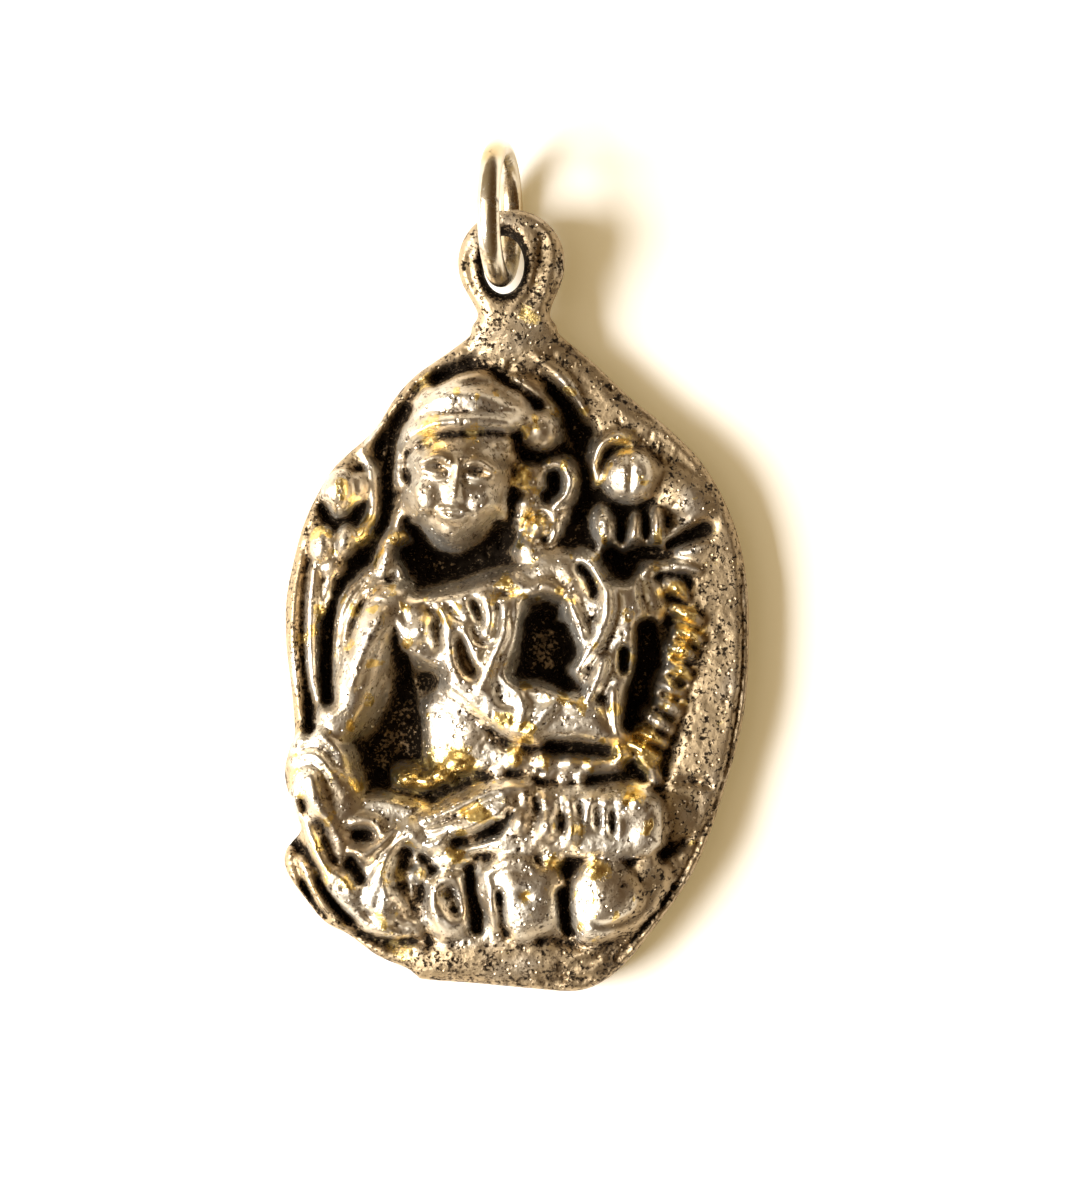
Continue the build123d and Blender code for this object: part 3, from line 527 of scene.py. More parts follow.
groove([(4.0, -14.3), (5.0, -14.4), (6.2, -14.0)], 0.5, 0.14)
dome(4.2, -11.35, 0.75, 0.42, 4.8, 3.9, turn=12)
groove([(-8.6, -15.0), (-7.4, -15.25), (-6.0, -15.35), (-4.9, -15.45)], 0.55, 0.2)
ridge([(-8.3, -15.7), (-7.0, -16.1), (-5.6, -16.3)], 2.5, 0.3)
groove([(-4.7, -15.0), (-4.55, -15.6), (-4.9, -15.9)], 0.6, 0.13)
ridge([(3.2, -16.1), (4.0, -15.9), (4.5, -15.6)], 3.0, 0.22)
ridge([(3.0, -17.2), (4.0, -16.9), (4.7, -16.4)], 2.8, 0.26)


# ---------------------------------------------------------------------------------------------------------
# Lotuses, stems and ribbon: a closed bud over open petals at each shoulder, two stems running down the left edge,
# and on the right a ruffled ribbon, rubbed through to the brass.
dome(-9.5, 8.75, 1.05, 1.35, 4.2, 2.6, turn=-12)
dome(-8.5, 9.0, 0.6, 0.9, 3.4, 2.2)
groove([(-8.95, 9.7), (-8.7, 8.7), (-8.9, 7.8)], 0.5, 0.13)
hollow([(-10.5, 7.9), (-9.9, 7.05), (-9.1, 6.95), (-8.5, 7.5)], 1.5, 0.12, 5.0)
dome(-10.4, 5.9, 0.75, 1.1, 3.8, 2.4, turn=-10)
dome(-9.2, 6.1, 0.65, 1.0, 3.9, 2.4, turn=-18)
dome(-8.2, 6.6, 0.45, 0.7, 3.4, 2.2, turn=-25)
groove([(-9.8, 6.6), (-9.7, 5.7), (-9.9, 5.0)], 0.5, 0.14)
dome(-9.9, 4.9, 0.8, 0.9, 3.2, 2.2)
ridge([(-8.3, 11.0), (-7.8, 10.0), (-7.65, 8.8), (-7.7, 7.7), (-8.0, 6.9)], [2.5, 2.9, 2.9, 3.0], 0.27)
ridge([(-9.6, 10.2), (-10.5, 9.0), (-11.2, 7.6), (-11.6, 6.2)], 2.6, 0.3)
ridge([(-11.55, 5.2), (-11.85, 3.2), (-11.95, 0.8), (-11.8, -1.6), (-11.45, -3.9)], [2.7, 3.0, 3.1, 3.0, 2.7], 0.3)
hollow([(-11.2, 4.9), (-11.4, 3.0), (-11.45, 0.8), (-11.35, -1.5), (-11.1, -3.9)], 1.7, 0.07, 7.0)
ridge([(-10.8, 4.8), (-10.95, 3.0), (-11.0, 0.8), (-10.85, -1.2), (-10.5, -2.8)], [3.1, 3.2, 3.2, 3.1, 2.9], 0.27)
ridge([(-9.9, 4.6), (-10.2, 3.2), (-10.4, 2.2)], [2.9, 2.7, 2.3], 0.3)
hollow([(-9.8, 2.8), (-10.1, 1.5), (-10.25, -0.4), (-10.15, -2.3)], 1.3, [0.04, 0.14, 0.16, 0.1], 6.0)

ridge([(4.35, 9.3), (4.35, 10.4), (4.7, 11.3), (5.5, 11.65), (6.3, 11.4)], [2.9, 3.5, 3.7, 3.7, 3.0], 0.27)
hollow([(4.75, 10.1), (5.15, 10.9), (5.9, 11.05)], 1.6, 0.1, 5.0)
dome(6.2, 9.6, 1.6, 1.5, 4.5, 2.6)
groove([(6.0, 10.8), (6.15, 9.8), (6.1, 8.8)], 0.5, 0.15)
groove([(7.2, 10.6), (7.35, 9.6), (7.1, 8.6)], 0.35, 0.13)
groove([(5.4, 9.6), (5.35, 9.0)], 0.3, 0.1)
hollow([(4.6, 8.3), (5.3, 7.75), (6.3, 7.6), (7.3, 7.95)], 1.5, 0.1, 6.0)
dome(4.75, 6.75, 0.62, 1.1, 4.1, 2.8, turn=8)
dome(6.35, 6.45, 0.4, 1.1, 4.0, 2.8, turn=-6)
dome(7.55, 6.9, 0.4, 1.1, 4.0, 2.8, turn=-2)
groove([(5.65, 7.1), (5.6, 6.2)], 1.4, 0.2)
groove([(7.0, 7.4), (7.0, 6.4)], 1.2, 0.15)
dome(8.9, 8.7, 2.2, 1.3, 3.3, 2.3, turn=-38)
ridge([(7.9, 6.2), (8.7, 6.75), (9.6, 7.1), (10.3, 7.2)], [3.0, 3.1, 3.0, 2.6], 0.26)
hollow([(8.2, 5.95), (9.2, 6.35), (10.15, 6.75)], 0.8, [0.04, 0.16, 0.24], 7.0)
hollow([(5.2, 5.3), (5.8, 4.9), (6.6, 5.4), (7.6, 5.55)], 1.0, [0.2, 0.4, 0.15, 0.1], 4.0)
ridge([(7.9, 4.7), (8.9, 4.75), (9.9, 4.5)], 3.0, 0.25)
hollow([(8.3, 4.1), (9.2, 3.9)], 1.4, 0.1, 5.0)
ridge([(8.9, 5.5), (9.6, 5.6), (10.2, 5.9)], 2.8, 0.25)
ribbon = [(8.1, 3.9, 9.1, 3.1), (8.5, 2.5, 9.9, 1.75), (8.8, 1.35, 9.9, 0.75), (8.4, 0.4, 9.5, -0.05),
          (8.5, -0.6, 9.3, -1.2), (7.9, -1.6, 8.8, -2.0), (7.8, -2.5, 8.7, -3.1), (7.1, -3.3, 8.2, -4.0),
          (6.7, -4.1, 7.9, -4.7), (6.1, -4.7, 7.5, -5.5)]
ridge([(x0 / 2 + x1 / 2, y0 / 2 + y1 / 2) for x0, y0, x1, y1 in ribbon], 2.75, 0.95, full=0.6)
for x0, y0, x1, y1 in ribbon:
    ridge([(x0, y0), (x0 / 2 + x1 / 2, y0 / 2 + y1 / 2 + 0.08), (x1, y1)], [3.3, 3.8, 3.2], 0.29)
for (x0, y0, x1, y1), (x2, y2, x3, y3) in zip(ribbon, ribbon[1:]):
    groove([(x0 / 2 + x2 / 2, y0 / 2 + y2 / 2), (x1 / 2 + x3 / 2, y1 / 2 + y3 / 2)], 1.0, 0.13)
groove([(8.4, -1.5), (8.8, -1.8)], 0.9, 0.2)
ridge([(6.6, -5.4), (7.2, -6.1), (7.7, -6.8)], [3.4, 3.3, 2.8], 0.27)
hollow([(6.2, -6.1), (6.8, -6.5)], 1.6, 0.1, 4.0)


# ---------------------------------------------------------------------------------------------------------
# The eye: the loop at the top that the jump ring goes through, as thick as the casting's arm is wide, with a
# second rounded ridge on its right side that runs down the neck.
casting_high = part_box("pendant_casting")[1]
eye_x, eye_radius = -0.25, 2.86
hole_x, hole_half_x, hole_half_y = -0.66, 1.09, 1.56
eye_y = casting_high.y / mm - eye_radius
hole_y = eye_y - 0.1
eye_back, eye_front = 1.6, 3.79
eye_face = eye_front - 0.12
neck_x, neck_y, neck_half, neck_long = -0.1, 18.3, 1.85, 1.6
neck_foot, neck_climb, eye_foot = 14.9, 3.4, 18.2
neck_low, neck_high, neck_reach = 2.5, eye_front - 0.15, 3.2
eye_gap = np.hypot(X - eye_x, Y - eye_y) - eye_radius
neck_gap = np.maximum(np.abs(X - neck_x) - neck_half, np.abs(Y - neck_y) - neck_long)
hole_gap = (1 - np.hypot((X - hole_x) / hole_half_x, (Y - hole_y) / hole_half_y)) * hole_half_x
joined = -smooth_max(-eye_gap, -neck_gap, 0.9)
outline_gap = -smooth_max(-plate_gap, -joined, 0.7)
edge_gap = np.maximum(outline_gap, hole_gap)
depth_in = np.maximum(-edge_gap, 0)

eye_share = 1 / (1 + np.exp(-(Y - eye_foot) / 0.35))
ramp = np.clip((Y - neck_foot) / neck_climb, 0, 1)
neck_top = neck_low + (neck_high - neck_low) * ramp**2 * (3 - 2 * ramp)
aside = np.abs(X - neck_x)
neck_shape = np.where(aside < neck_reach, neck_top - 0.12 * aside**2 * (1 - eye_share), 0)
height = np.where(Y > neck_foot, smooth_max(height, neck_shape, 0.3), height)
height = height * (1 - eye_share) + eye_face * eye_share
ridge([(1.9, 22.4), (2.0, 21.0), (1.6, 19.6), (1.0, 18.4), (0.8, 17.3)], [3.75, 3.75, 3.7, 3.5, 3.0], 0.5)
groove([(1.35, 22.6), (1.35, 21.0), (0.9, 19.6), (0.3, 18.6)], 0.35, 0.16)
groove([(2.35, 21.8), (2.3, 20.6), (1.9, 19.4), (1.5, 18.4)], 0.5, 0.15)
groove([(-2.5, 21.6), (-2.45, 20.4), (-2.0, 19.2), (-1.6, 18.3)], 0.25, 0.15)
height = np.where(Y > eye_foot, np.minimum(height, eye_front), height)


# ---------------------------------------------------------------------------------------------------------
# The skin of the casting: soft corners from the mould, a grain from the pour, pits, and a rounded edge.
# Where it lies low the blackening stays, at the eye's hole it is darkened with painted shade, and where hands rub it
# the plating has gone to brass.
chance = np.random.default_rng(7)


def blurred(values, spread):
    """Values softened by a bell curve of the given spread in mm, worked out on their waves."""
    waves_y = np.fft.fftfreq(values.shape[0], cell)[:, None]
    waves_x = np.fft.rfftfreq(values.shape[1], cell)[None]
    keep = np.exp(-2 * (math.pi * spread) ** 2 * (waves_x**2 + waves_y**2))
    return np.fft.irfft2(np.fft.rfft2(values) * keep, values.shape)


def grain(spread):
    """Random bumps about as wide as the spread, with a standard height of one."""
    bumps = blurred(chance.normal(size=X.shape), spread)
    return bumps / bumps.std()


def step_up(values, low, high):
    """0 below low, 1 above high, and an even S between."""
    t = np.clip((values - low) / (high - low), 0, 1)
    return t * t * (3 - 2 * t)


# Handling has rounded everything but the face and the ribbon, which keep their cast crispness
face_part = np.hypot((X - face_x) / 2.6, (Y - face_y + 0.6) / 3.0) < 1
ribbon_part = (X > 6.0) & (Y > -6.2) & (Y < 4.6)
crisp_share = blurred(np.where(face_part | ribbon_part, 1.0, 0.0), 0.3)
crisp = 0.6 * blurred(height, 0.07) + 0.4 * blurred(height, 0.16)
handled = 0.5 * blurred(height, 0.09) + 0.5 * blurred(height, 0.19)
height = handled + (crisp - handled) * crisp_share
carved = blurred(height, 0.9) - height
rough = step_up(carved, -0.1, 0.5)
worn_bumps, cast_bumps, wide_bumps = 0.010, 0.045, 0.02
worn_sand, cast_sand = 0.006, 0.03
height += (worn_bumps + cast_bumps * rough) * grain(0.16) + wide_bumps * grain(0.6)
height += (worn_sand + cast_sand * rough) * grain(0.08)
pit_depth = 0.12
pits = step_up(grain(0.13), 1.9, 2.6)
height -= pit_depth * pits

floor_share = step_up(1.5 - blurred(height, 0.2), 0.0, 0.4) * (inward > 0.8) * 0.75
tarnish_and_shade = step_up(blurred(height, 0.4) - height, 0.05, 0.45) * 0.75 + step_up(carved, 0.25, 1.1) * 0.7
tarnish_and_shade = np.maximum(tarnish_and_shade, floor_share) + 0.35 * pits + 0.06 * border + 0.16 * step_up(-Y, 14.6, 16.0)
tarnish_and_shade = np.clip(tarnish_and_shade, 0, 1)
tarnish_and_shade *= 1 - 0.7 * np.exp(-(((X + 2.4) / 2.4) ** 2 + ((Y - 0.8) / 2.4) ** 2) ** 2)
# Painted shade: the metal is darkened towards the eye's hole and down its wall, where shade falls into it.
hole_shade = step_up(hole_gap, -0.55, -0.2)
tarnish_and_shade = np.maximum(tarnish_and_shade, hole_shade)

# Where the plating is porous: the plain border, the foot and every hollow, hardly at all on the crests
grit = np.clip(0.95 * border + step_up(carved, 0.1, 0.6) + 0.8 * step_up(-Y, 14.8, 16.0) + step_up(Y, 14.5, 16.0)
               + 0.15 - 0.9 * step_up(-carved, 0.15, 0.5), 0.12, 1)

# Where the plating is worn to brass: x, y, reach and strength
worn = [(-5.6, -6.6, 1.3, 1.0), (-4.2, -6.3, 1.3, 1.0), (-3.0, -5.8, 1.2, 1.0), (0.0, -5.5, 0.8, 1.0),
        (1.5, -5.7, 0.8, 0.9), (3.0, -5.8, 0.8, 0.5), (5.6, -5.3, 0.8, 0.9), (7.0, -4.6, 1.3, 1.0),
        (7.3, -5.6, 0.9, 0.9), (8.0, -3.4, 0.9, 0.6), (9.2, 1.0, 1.1, 1.0), (9.0, 2.3, 0.9, 0.9),
        (8.7, 3.4, 0.8, 0.8), (8.9, 0.1, 0.9, 1.0), (8.8, -1.0, 0.8, 0.9), (8.3, -2.2, 0.8, 0.9),
        (4.2, -11.3, 0.8, 1.0), (2.0, -10.9, 0.7, 0.9), (-3.0, -10.7, 0.8, 0.8), (-5.0, -11.7, 0.5, 0.8),
        (-6.3, -11.7, 0.8, 0.8), (-8.9, -12.2, 0.7, 0.7), (-11.0, -11.6, 0.8, 0.7), (-7.0, -15.9, 1.5, 0.6),
        (1.1, 7.3, 0.9, 0.9), (0.6, 9.6, 1.0, 0.7), (-4.6, 11.9, 1.0, 0.9), (-2.2, 11.9, 0.7, 0.7),
        (-9.9, -5.2, 0.7, 0.6), (1.0, 5.0, 0.8, 0.7), (-5.0, 2.0, 0.5, 0.6), (5.5, 11.3, 0.9, 0.9),
        (6.3, 9.4, 0.5, 0.6), (-8.2, 6.4, 0.8, 0.9), (-8.8, 8.6, 0.8, 0.6), (-8.2, 10.6, 0.8, 0.6),
        (-5.2, 14.8, 1.0, 0.8), (-7.0, 12.8, 1.0, 0.7), (-11.5, 1.0, 0.5, 0.5), (-10.6, 2.5, 0.6, 0.7),
        (0.6, 18.2, 0.8, 0.6), (0.2, 21.6, 0.7, 0.6), (4.6, 4.2, 0.6, 0.5), (-10.6, -6.4, 0.9, 0.5),
        (-9.9, -8.2, 0.8, 0.6), (-6.5, 3.6, 0.5, 0.7), (-3.8, -12.8, 0.4, 0.8), (0.5, -12.7, 0.5, 0.7),
        (-8.8, 2.3, 0.7, 0.5), (1.2, 5.2, 0.6, 0.5), (-1.2, -0.8, 0.8, 0.4), (3.2, -9.2, 0.5, 0.8)]
brass = np.zeros(X.shape)
for x, y, reach, strength in worn:
    brass = np.maximum(brass, strength * np.exp(-((X - x) ** 2 + (Y - y) ** 2) / reach**2))

crests = step_up(blurred(np.abs(carved), 0.3), 0.12, 0.4) * step_up(0.45 - carved, 0.0, 0.4)
crests *= step_up(np.hypot((X - face_x) / 2.9, (Y - face_y + 0.6) / 3.2), 0.95, 1.1)
brass = np.maximum(brass, 0.8 * step_up(grain(0.24), 0.7, 1.5) * crests) * step_up(depth_in, 0.15, 0.5)

# The edge: a quarter round in front and a smaller one behind, with the wall between them
plate_wall_top, eye_wall_top = 1.75, 2.75
plate_wall_foot, eye_wall_foot = 0.45, 2.6
front_round, back_round = 0.5, 0.45
thinnest, below_top = 0.4, 0.02
wall_top = plate_wall_top + (eye_wall_top - plate_wall_top) * eye_share
bulge = np.sqrt(1 - (1 - np.minimum(depth_in / front_round, 1)) ** 2)
height = np.maximum(wall_top + (height - wall_top) * bulge, thinnest)
height = np.minimum(height, casting_high.z / mm - below_top)
back_edge = plate_wall_foot + (eye_wall_foot - plate_wall_foot) * eye_share
back_level = eye_back * step_up(Y, 16.6, 18.6)
back = back_edge + (back_level - back_edge) * np.sqrt(1 - (1 - np.minimum(depth_in / back_round, 1)) ** 2)

# The mesh: the grid's cells inside the edge, with the outermost corners slid on to the edge itself
centres = (edge_gap[:-1, :-1] + edge_gap[1:, :-1] + edge_gap[:-1, 1:] + edge_gap[1:, 1:]) / 4
kept = centres < 0
for turn in range(3):
    block = kept[:-1, :-1], kept[1:, 1:], kept[:-1, 1:], kept[1:, :-1]
    pinch = (block[0] & block[1] & ~block[2] & ~block[3]) | (~block[0] & ~block[1] & block[2] & block[3])
    kept[:-1, :-1] |= pinch
    kept[1:, 1:] |= pinch
    kept[:-1, 1:] |= pinch
    kept[1:, :-1] |= pinch
number = np.arange(X.size).reshape(X.shape)
rows, columns = np.nonzero(kept)
faces = np.stack([number[rows, columns], number[rows, columns + 1],
                  number[rows + 1, columns + 1], number[rows + 1, columns]], 1)
used, faces = np.unique(faces, return_inverse=True)
faces = faces.reshape(-1, 4)
edges = np.stack([faces, np.roll(faces, -1, axis=1)], -1).reshape(-1, 2)
codes = edges[:, 0] * len(used) + edges[:, 1]
mirrored = edges[:, 1] * len(used) + edges[:, 0]
rim_edges = edges[~np.isin(codes, mirrored)]
on_rim = np.unique(rim_edges)

slope_y, slope_x = np.gradient(edge_gap, cell)
steep = np.maximum(np.hypot(slope_x, slope_y), 0.3)
place_x, place_y = X.ravel()[used], Y.ravel()[used]
gap_here = edge_gap.ravel()[used]
slide_x = (slope_x / steep**2).ravel()[used] * gap_here
slide_y = (slope_y / steep**2).ravel()[used] * gap_here
longest_slide = 0.12
place_x[on_rim] -= np.clip(slide_x[on_rim], -longest_slide, longest_slide)
place_y[on_rim] -= np.clip(slide_y[on_rim], -longest_slide, longest_slide)
place_z = height.ravel()[used]
place_z[on_rim] = wall_top.ravel()[used][on_rim]

# The wall: the edge's corners carried down in rows. The back: a sheet of triangles over the same corners
top_count = len(used)
rim_number = np.zeros(top_count, int)
rim_number[on_rim] = np.arange(len(on_rim))
rim_z_low = back_edge.ravel()[used][on_rim]
wall_rows = 4
points = [np.stack([place_x, place_y, place_z], 1)]
for row in range(1, wall_rows + 1):
    share = row / wall_rows
    points.append(np.stack([place_x[on_rim], place_y[on_rim], place_z[on_rim] * (1 - share) + rim_z_low * share], 1))
wall_faces = []
for row in range(wall_rows):
    upper = rim_edges if row == 0 else top_count + (row - 1) * len(on_rim) + rim_number[rim_edges]
    lower = top_count + row * len(on_rim) + rim_number[rim_edges]
    wall_faces.append(np.stack([upper[:, 0], lower[:, 0], lower[:, 1], upper[:, 1]], 1))

rounded_band, edge_clear = 0.75, 0.12
sparse, dense = np.zeros((2, *X.shape), bool)
sparse[::5, ::5] = True
dense[::2, ::2] = True
inner = (sparse & (depth_in > rounded_band)) | (dense & (depth_in > edge_clear) & (depth_in < rounded_band))
inner_at = np.stack([X[inner], Y[inner], back[inner]], 1)
flat = [Vector((x, y)) for x, y in np.vstack([points[-1][:, :2], inner_at[:, :2]])]
low_edges = rim_number[rim_edges]
made = delaunay_2d_cdt(flat, [tuple(e) for e in low_edges.tolist()], [], 0, 1e-5)
back_points, back_triangles = np.array([tuple(v) for v in made[0]]), np.array([t for t in made[2] if len(t) == 3])
origin = np.array([o[0] if o else -1 for o in made[3]])
middle = back_points[back_triangles].mean(1)


def read_at(values, x, y):
    """The value of a grid map at places between its corners, shared out by nearness."""
    u, v = (x - across[0]) / cell, (y - upward[0]) / cell
    i, j = np.clip(u.astype(int), 0, len(across) - 2), np.clip(v.astype(int), 0, len(upward) - 2)
    a, b = u - i, v - j
    lower = values[j, i] * (1 - a) + values[j, i + 1] * a
    upper = values[j + 1, i] * (1 - a) + values[j + 1, i + 1] * a
    return lower * (1 - b) + upper * b


back_triangles = back_triangles[read_at(edge_gap, middle[:, 0], middle[:, 1]) < 0.0]
last_row = top_count + (wall_rows - 1) * len(on_rim)
total = top_count + wall_rows * len(on_rim)
back_number = np.where(origin < len(on_rim), last_row + origin, total + origin - len(on_rim))
points.append(inner_at)
back_faces = back_number[back_triangles][:, ::-1]
all_points = np.vstack(points)


def make_piece(name, where, quads, triangles=()):
    """A smooth-shaded mesh object of quads and triangles, given in mm and turned to metres."""
    mesh = bpy.data.meshes.new(name)
    mesh.from_pydata((where * mm).tolist(), [], [*np.asarray(quads).tolist(), *np.asarray(triangles).tolist()])
    mesh.update()
    mesh.polygons.foreach_set("use_smooth", np.ones(len(mesh.polygons), bool))
    piece = bpy.data.objects.new(name, mesh)
    bpy.context.scene.collection.objects.link(piece)
    return piece


def keep_map(piece, name, values):
    """Stores one number for each corner of the mesh, for the material to read."""
    piece.data.attributes.new(name, "FLOAT", "POINT").data.foreach_set("value", np.asarray(values, np.float32))


casting = make_piece("casting", all_points, np.vstack([faces, *wall_faces]), back_faces)
plain_tarnish, plain_grit = 0.35, 0.8
# The wall takes the plain level, darkened with painted shade round the eye's hole.
wall_tarnish_and_shade = np.tile(np.maximum(plain_tarnish, hole_shade.ravel()[used][on_rim]), wall_rows)
back_tarnish = np.full(len(inner_at), plain_tarnish)
beyond = np.ones(len(all_points) - top_count)
keep_map(casting, "tarnish_and_shade", np.concatenate([tarnish_and_shade.ravel()[used], wall_tarnish_and_shade, back_tarnish]))
keep_map(casting, "grit", np.concatenate([grit.ravel()[used], plain_grit * beyond]))
keep_map(casting, "brass", np.concatenate([brass.ravel()[used], 0 * beyond]))
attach(casting, "pendant")
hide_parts("pendant_casting")


# ---------------------------------------------------------------------------------------------------------
# The casting's finish: antique silver plating, black in its hollows and pores, rubbed to brass on its crests,
# with a brown mid-tone round the hollows that is part patina and part painted shade.
class Wire:
    """A socket of a shader, so that maths on it reads as plain arithmetic."""

    def __init__(self, tree, socket):
        self.tree, self.socket = tree, socket

    def node(self, kind, settings=(), output=0, **values):
        """Any other node: its settings first, then the values or links of its sockets by name or number."""
        made = self.tree.nodes.new(kind)
        for key, value in dict(settings).items():
            setattr(made, key, value)
        for key, value in values.items():
            numbered = key[0] == "n" and key[1:].isdigit()
            socket = made.inputs[int(key[1:]) if numbered else key.replace("_", " ")]
            if isinstance(value, Wire):
                self.tree.links.new(value.socket, socket)
            else:
                socket.default_value = value
        return Wire(self.tree, made.outputs[output])

    def maths(self, operation, *others):
        numbered = {f"n{i}": value for i, value in enumerate((self, *others))}
        return self.node("ShaderNodeMath", {"operation": operation}, **numbered)

    def __add__(self, other): return self.maths("ADD", other)
    def __radd__(self, other): return self.maths("ADD", other)
    def __sub__(self, other): return self.maths("SUBTRACT", other)
    def __rsub__(self, other): return (self * -1) + other
    def __mul__(self, other): return self.maths("MULTIPLY", other)
    def __rmul__(self, other): return self.maths("MULTIPLY", other)

    def between(self, low, high):
        """0 below low, 1 above high, an even S between."""
        return self.node("ShaderNodeMapRange", {"interpolation_type": "SMOOTHSTEP"}, n0=self, n1=low, n2=high)

    def blend(self, one, two):
        """One colour where this is 0 and the other where it is 1."""
        return self.node("ShaderNodeMix", {"data_type": "RGBA"}, output=2, n0=self, n6=one, n7=two)


def new_finish(name):
    """An empty material, with a wire to start from, the piece's own coordinates and its shader."""
    finish = bpy.data.materials.new(name)
    finish.use_nodes = True
    tree = finish.node_tree
    tree.nodes.clear()
    start = Wire(tree, None)
    shader = tree.nodes.new("ShaderNodeBsdfPrincipled")
    out = tree.nodes.new("ShaderNodeOutputMaterial")
    tree.links.new(shader.outputs[0], out.inputs[0])
    coordinates = start.node("ShaderNodeTexCoord", output=3)
    return finish, start, coordinates, shader


def feed(shader, **values):
    """Links wires and sets plain values on the shader's own sockets."""
    for key, value in values.items():
        socket = shader.inputs[key.replace("_", " ")]
        if isinstance(value, Wire):
            shader.id_data.links.new(value.socket, socket)
        else:
            socket.default_value = value


silver, warm_grey = (0.76, 0.70, 0.59, 1), (0.58, 0.475, 0.33, 1)
dull = (0.46, 0.35, 0.21, 1)
# The brown is the patina's edge and painted shade at once; black is the patina itself.
bright_brass, patina_and_shade_brown, black = (0.95, 0.72, 0.28, 1), (0.14, 0.092, 0.05, 1), (0.02, 0.014, 0.009, 1)
finish, start, coordinates, shader = new_finish("antique_plating")
tarnish_and_shade_map = start.node("ShaderNodeAttribute", {"attribute_name": "tarnish_and_shade"}, output=2)
grit_map = start.node("ShaderNodeAttribute", {"attribute_name": "grit"}, output=2)
brass_map = start.node("ShaderNodeAttribute", {"attribute_name": "brass"}, output=2)


def speckle(scale, detail=3.0, rough_share=0.6):
    """Cloudy noise on the piece's own coordinates, in lumps of about 1 / scale metres."""
    return start.node("ShaderNodeTexNoise", Vector=coordinates, Scale=scale, Detail=detail, Roughness=rough_share)


fine, medium, broad = speckle(5200.0, 4.0), speckle(1500.0), speckle(320.0, 2.0)
pores = (1 - start.node("ShaderNodeTexVoronoi", Vector=coordinates, Scale=2100.0)).between(0.72, 0.9)
# Painted shade, partly: a brown mid-tone laid from the silver crests down towards the black of the hollows, part the
# patina's edge and part the slopes' shading painted in.
patina_and_shade_share = (tarnish_and_shade_map + 0.06 + (medium - 0.5) * 1.4 + (fine - 0.5) * 2.0).between(0.16, 0.44)
black_share = (tarnish_and_shade_map * 0.9 - brass_map * 0.2 + (fine - 0.5) * 2.8 + (medium - 0.5) * 1.2).between(0.5, 0.7)
specks = (fine * 0.6 + medium * 0.4 + grit_map * 0.1).between(0.63, 0.70)
black_share = black_share.maths("MAXIMUM", specks * 0.92)
black_share = black_share.maths("MAXIMUM", pores * (medium - 0.1).between(0.35, 0.6) * 0.85)
gilt = start.node("ShaderNodeTexNoise", Vector=coordinates, Scale=700.0, Detail=5.0, Roughness=0.72)
brass_share = (brass_map * 0.95 + (gilt - 0.5) * 2.6 + (fine - 0.5) * 0.8).between(0.42, 0.72)
dull_share = (grit_map * 0.8 + (broad - 0.5) * 0.9).between(0.3, 0.8)
metal = dull_share.blend(broad.between(0.35, 0.7).blend(silver, warm_grey), dull)
metal = brass_share.blend(metal, bright_brass)
black_share = black_share - brass_share * brass_map * 0.6
colour = black_share.blend((patina_and_shade_share * 0.8 - brass_share * 0.5).blend(metal, patina_and_shade_brown), black)
grip = (medium - 0.5) * 0.3 + 0.42 + dull_share * 0.12 + black_share * 0.25
relief_map = fine * 0.4 + medium * 0.8 - pores * 0.9 - black_share * 0.5
bump = start.node("ShaderNodeBump", Strength=0.8, Distance=0.00009, Height=relief_map)
feed(shader, Base_Color=colour, Metallic=1.0, Roughness=grip, Normal=bump)
casting.data.materials.append(finish)


# ---------------------------------------------------------------------------------------------------------
# The jump ring: drawn wire wound into a ring and closed with pliers. It is plated like the casting, and its cut
# ends meet in a hairline.
ring_joint = frame["joints"][0]
ring_low, ring_high = (np.array(corner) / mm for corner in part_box("jump_ring"))
ring_centre = (ring_low + ring_high) / 2
ring_axis = -np.array(ring_joint["axis"], float)
ring_axis /= np.linalg.norm(ring_axis)
ring_up = np.cross(ring_axis, [0, 1, 0])
ring_up *= np.sign(ring_up[2])
wire_radius = 0.6
ring_radius = (ring_high[1] - ring_low[1]) / 2 - wire_radius
cut_gap = 0.06


def ring_surface(turns=160, sides=28):
    """A round wire carried along a circle: each of its points is the circle's point plus the wire's radius along
    the outward and sideways directions. The wire is drawn in a little where pliers held it, and its ends are
    rounded off to a flat cut."""
    along = np.linspace(0, 1, turns)
    angle = math.pi + (cut_gap / 2 / ring_radius) + along * (2 * math.pi - cut_gap / ring_radius)
    out = np.cos(angle)[:, None] * ring_up + np.sin(angle)[:, None] * np.array([0.0, 1.0, 0.0])
    end = np.minimum(along, 1 - along) * 2 * math.pi * ring_radius
    squeeze = 1 - 0.012 * np.sin(3 * angle + 0.8) ** 2 - 0.10 * np.exp(-((end / 0.09) ** 2))
    around = np.linspace(0, 2 * math.pi, sides, endpoint=False)
    radius = wire_radius * squeeze[:, None] * (1 - 0.006 * np.cos(2 * around)[None])
    cosine, sine = np.cos(around)[None, :, None], np.sin(around)[None, :, None]
    wire = radius[..., None] * (cosine * out[:, None] + sine * ring_axis)
    return ring_centre + ring_radius * out[:, None] + wire


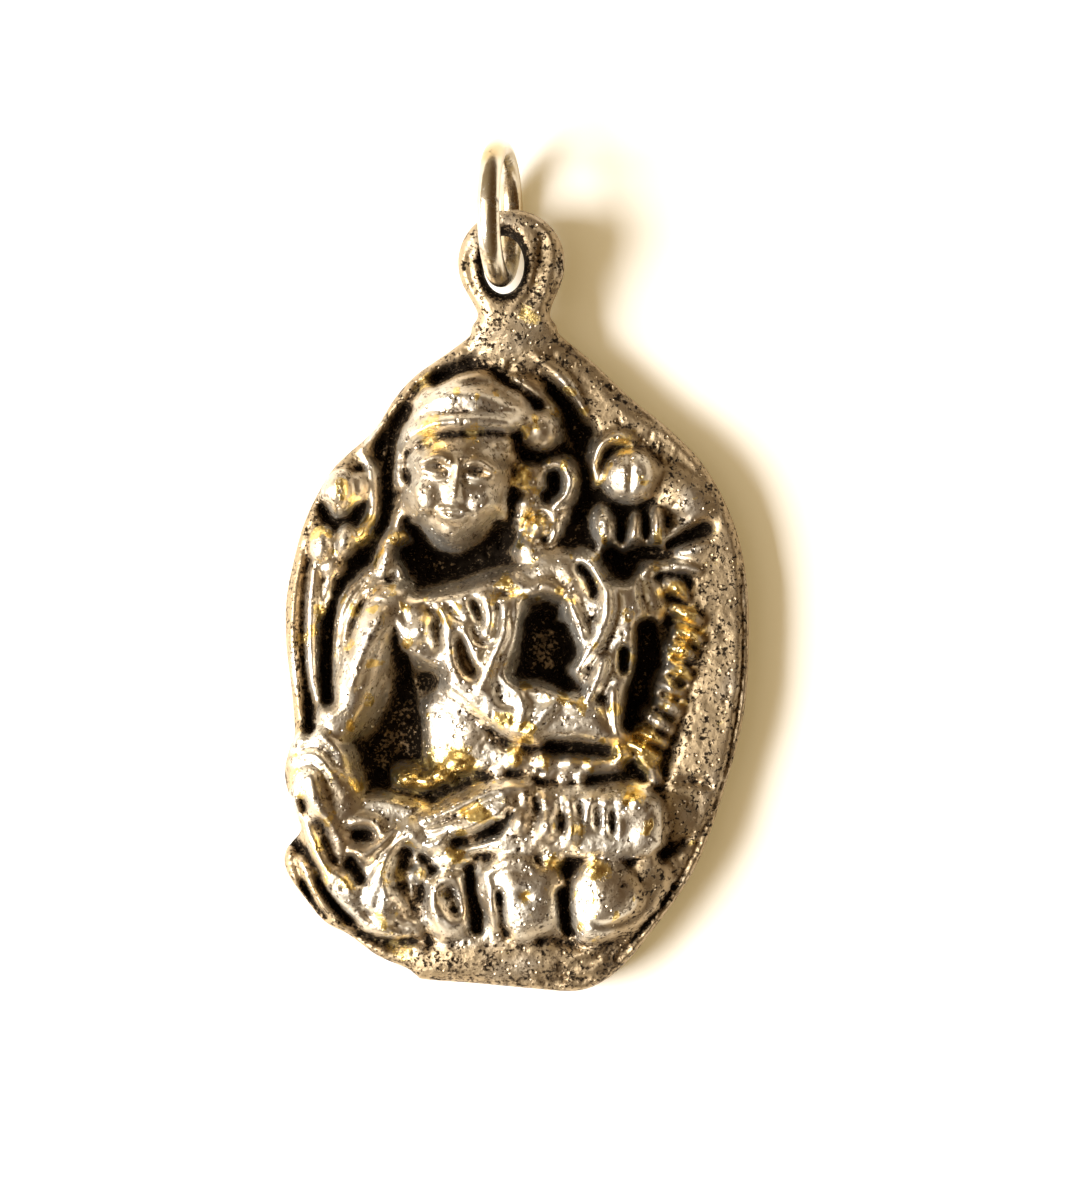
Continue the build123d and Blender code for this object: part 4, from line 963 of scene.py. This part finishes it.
ring_points = ring_surface()
turns, sides = ring_points.shape[:2]
index = np.arange(turns * sides).reshape(turns, sides)
ahead = np.roll(index, -1, axis=1)
quads = np.stack([index[:-1], index[1:], ahead[1:], ahead[:-1]], -1).reshape(-1, 4)
ends = np.stack([ring_points[0].mean(0), ring_points[-1].mean(0)])
caps = [(turns * sides, b, a) for a, b in zip(index[0], ahead[0])]
caps += [(turns * sides + 1, a, b) for a, b in zip(index[-1], ahead[-1])]
ring_corners = np.vstack([ring_points.reshape(-1, 3), ends])
ring = make_piece("ring_wire", ring_corners, quads[:, ::-1], np.array(caps)[:, ::-1])
ring_finish, start, coordinates, shader = new_finish("ring_plating")
fine, medium, broad = speckle(4200.0, 4.0), speckle(900.0), speckle(260.0, 2.0)
stain = (medium + (fine - 0.5) * 0.5).between(0.56, 0.78)
ring_metal = broad.between(0.45, 0.7).blend(silver, (0.60, 0.47, 0.27, 1))
feed(shader, Base_Color=(stain * 0.75).blend(ring_metal, (0.12, 0.09, 0.06, 1)), Metallic=1.0,
     Roughness=0.22 + stain * 0.3 + (fine - 0.5) * 0.12,
     Normal=start.node("ShaderNodeBump", Strength=0.35, Distance=0.00004, Height=fine * 0.5 + medium))
ring.data.materials.append(ring_finish)
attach(ring, "ring")
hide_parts("jump_ring")


# ---------------------------------------------------------------------------------------------------------
# The setting: a sheet of warm white paper with a faint warm glow for the light that a room throws about, one
# large soft light on the left, a faint one overhead, and the camera straight above.
paper_half, paper_low = 900, -0.02
paper_corners = [[-paper_half, -paper_half, paper_low], [paper_half, -paper_half, paper_low],
                 [paper_half, paper_half, paper_low], [-paper_half, paper_half, paper_low]]
paper = make_piece("paper", np.array(paper_corners), [[0, 1, 2, 3]])
paper_finish, start, coordinates, shader = new_finish("paper")
feed(shader, Base_Color=(0.88, 0.85, 0.79, 1), Roughness=0.9, Metallic=0.0,
     Emission_Color=(1.0, 0.76, 0.36, 1), Emission_Strength=0.28)
paper.data.materials.append(paper_finish)


def add_light(name, at, towards, size, power, colour, size_y=None):
    """A rectangular lamp at a place in mm, facing another."""
    lamp = bpy.data.lights.new(name, "AREA")
    lamp.shape, lamp.size, lamp.size_y = "RECTANGLE", size * mm, (size_y or size) * mm
    lamp.energy, lamp.color = power, colour
    holder = bpy.data.objects.new(name, lamp)
    holder.location = Vector(at) * mm
    holder.rotation_mode = "QUATERNION"
    holder.rotation_quaternion = (Vector(towards) - Vector(at)).to_track_quat("-Z", "Y")
    bpy.context.scene.collection.objects.link(holder)
    return holder


window_power, ceiling_power, room_strength = 5.2, 0.2, 0.4
add_light("window", (-330, -70, 235), (0, 0, 0), 280, window_power, (0.98, 0.98, 1.0), 220)
add_light("ceiling", (-190, 20, 400), (0, 0, 0), 220, ceiling_power, (1.0, 0.90, 0.74))

# The room: warm and light on the window's side, dim and brown on the other
world = bpy.data.worlds.new("room")
world.use_nodes = True
backdrop = world.node_tree.nodes["Background"]
direction = Wire(world.node_tree, None).node("ShaderNodeTexCoord", output=0)
sideways = direction.node("ShaderNodeSeparateXYZ", n0=direction, output=0)
room_colour = sideways.between(-0.75, 0.55).blend((1.0, 0.76, 0.42, 1), (0.26, 0.14, 0.05, 1))
world.node_tree.links.new(room_colour.socket, backdrop.inputs[0])
backdrop.inputs[1].default_value = room_strength
bpy.context.scene.world = world
bpy.context.scene.view_settings.view_transform = "Standard"

camera_x, camera_y, eye_height = 1.5, 2.96, 232.0
relief_height = 2.5
seen_height = 64.5
camera = bpy.data.cameras.new("camera")
camera.sensor_width = 36.0
camera.lens = camera.sensor_width * (eye_height - relief_height) / seen_height
holder = bpy.data.objects.new("camera", camera)
holder.location = Vector((camera_x, camera_y, eye_height)) * mm
bpy.context.scene.collection.objects.link(holder)
bpy.context.scene.camera = holder
camera.clip_start, camera.clip_end = 0.01, 10.0
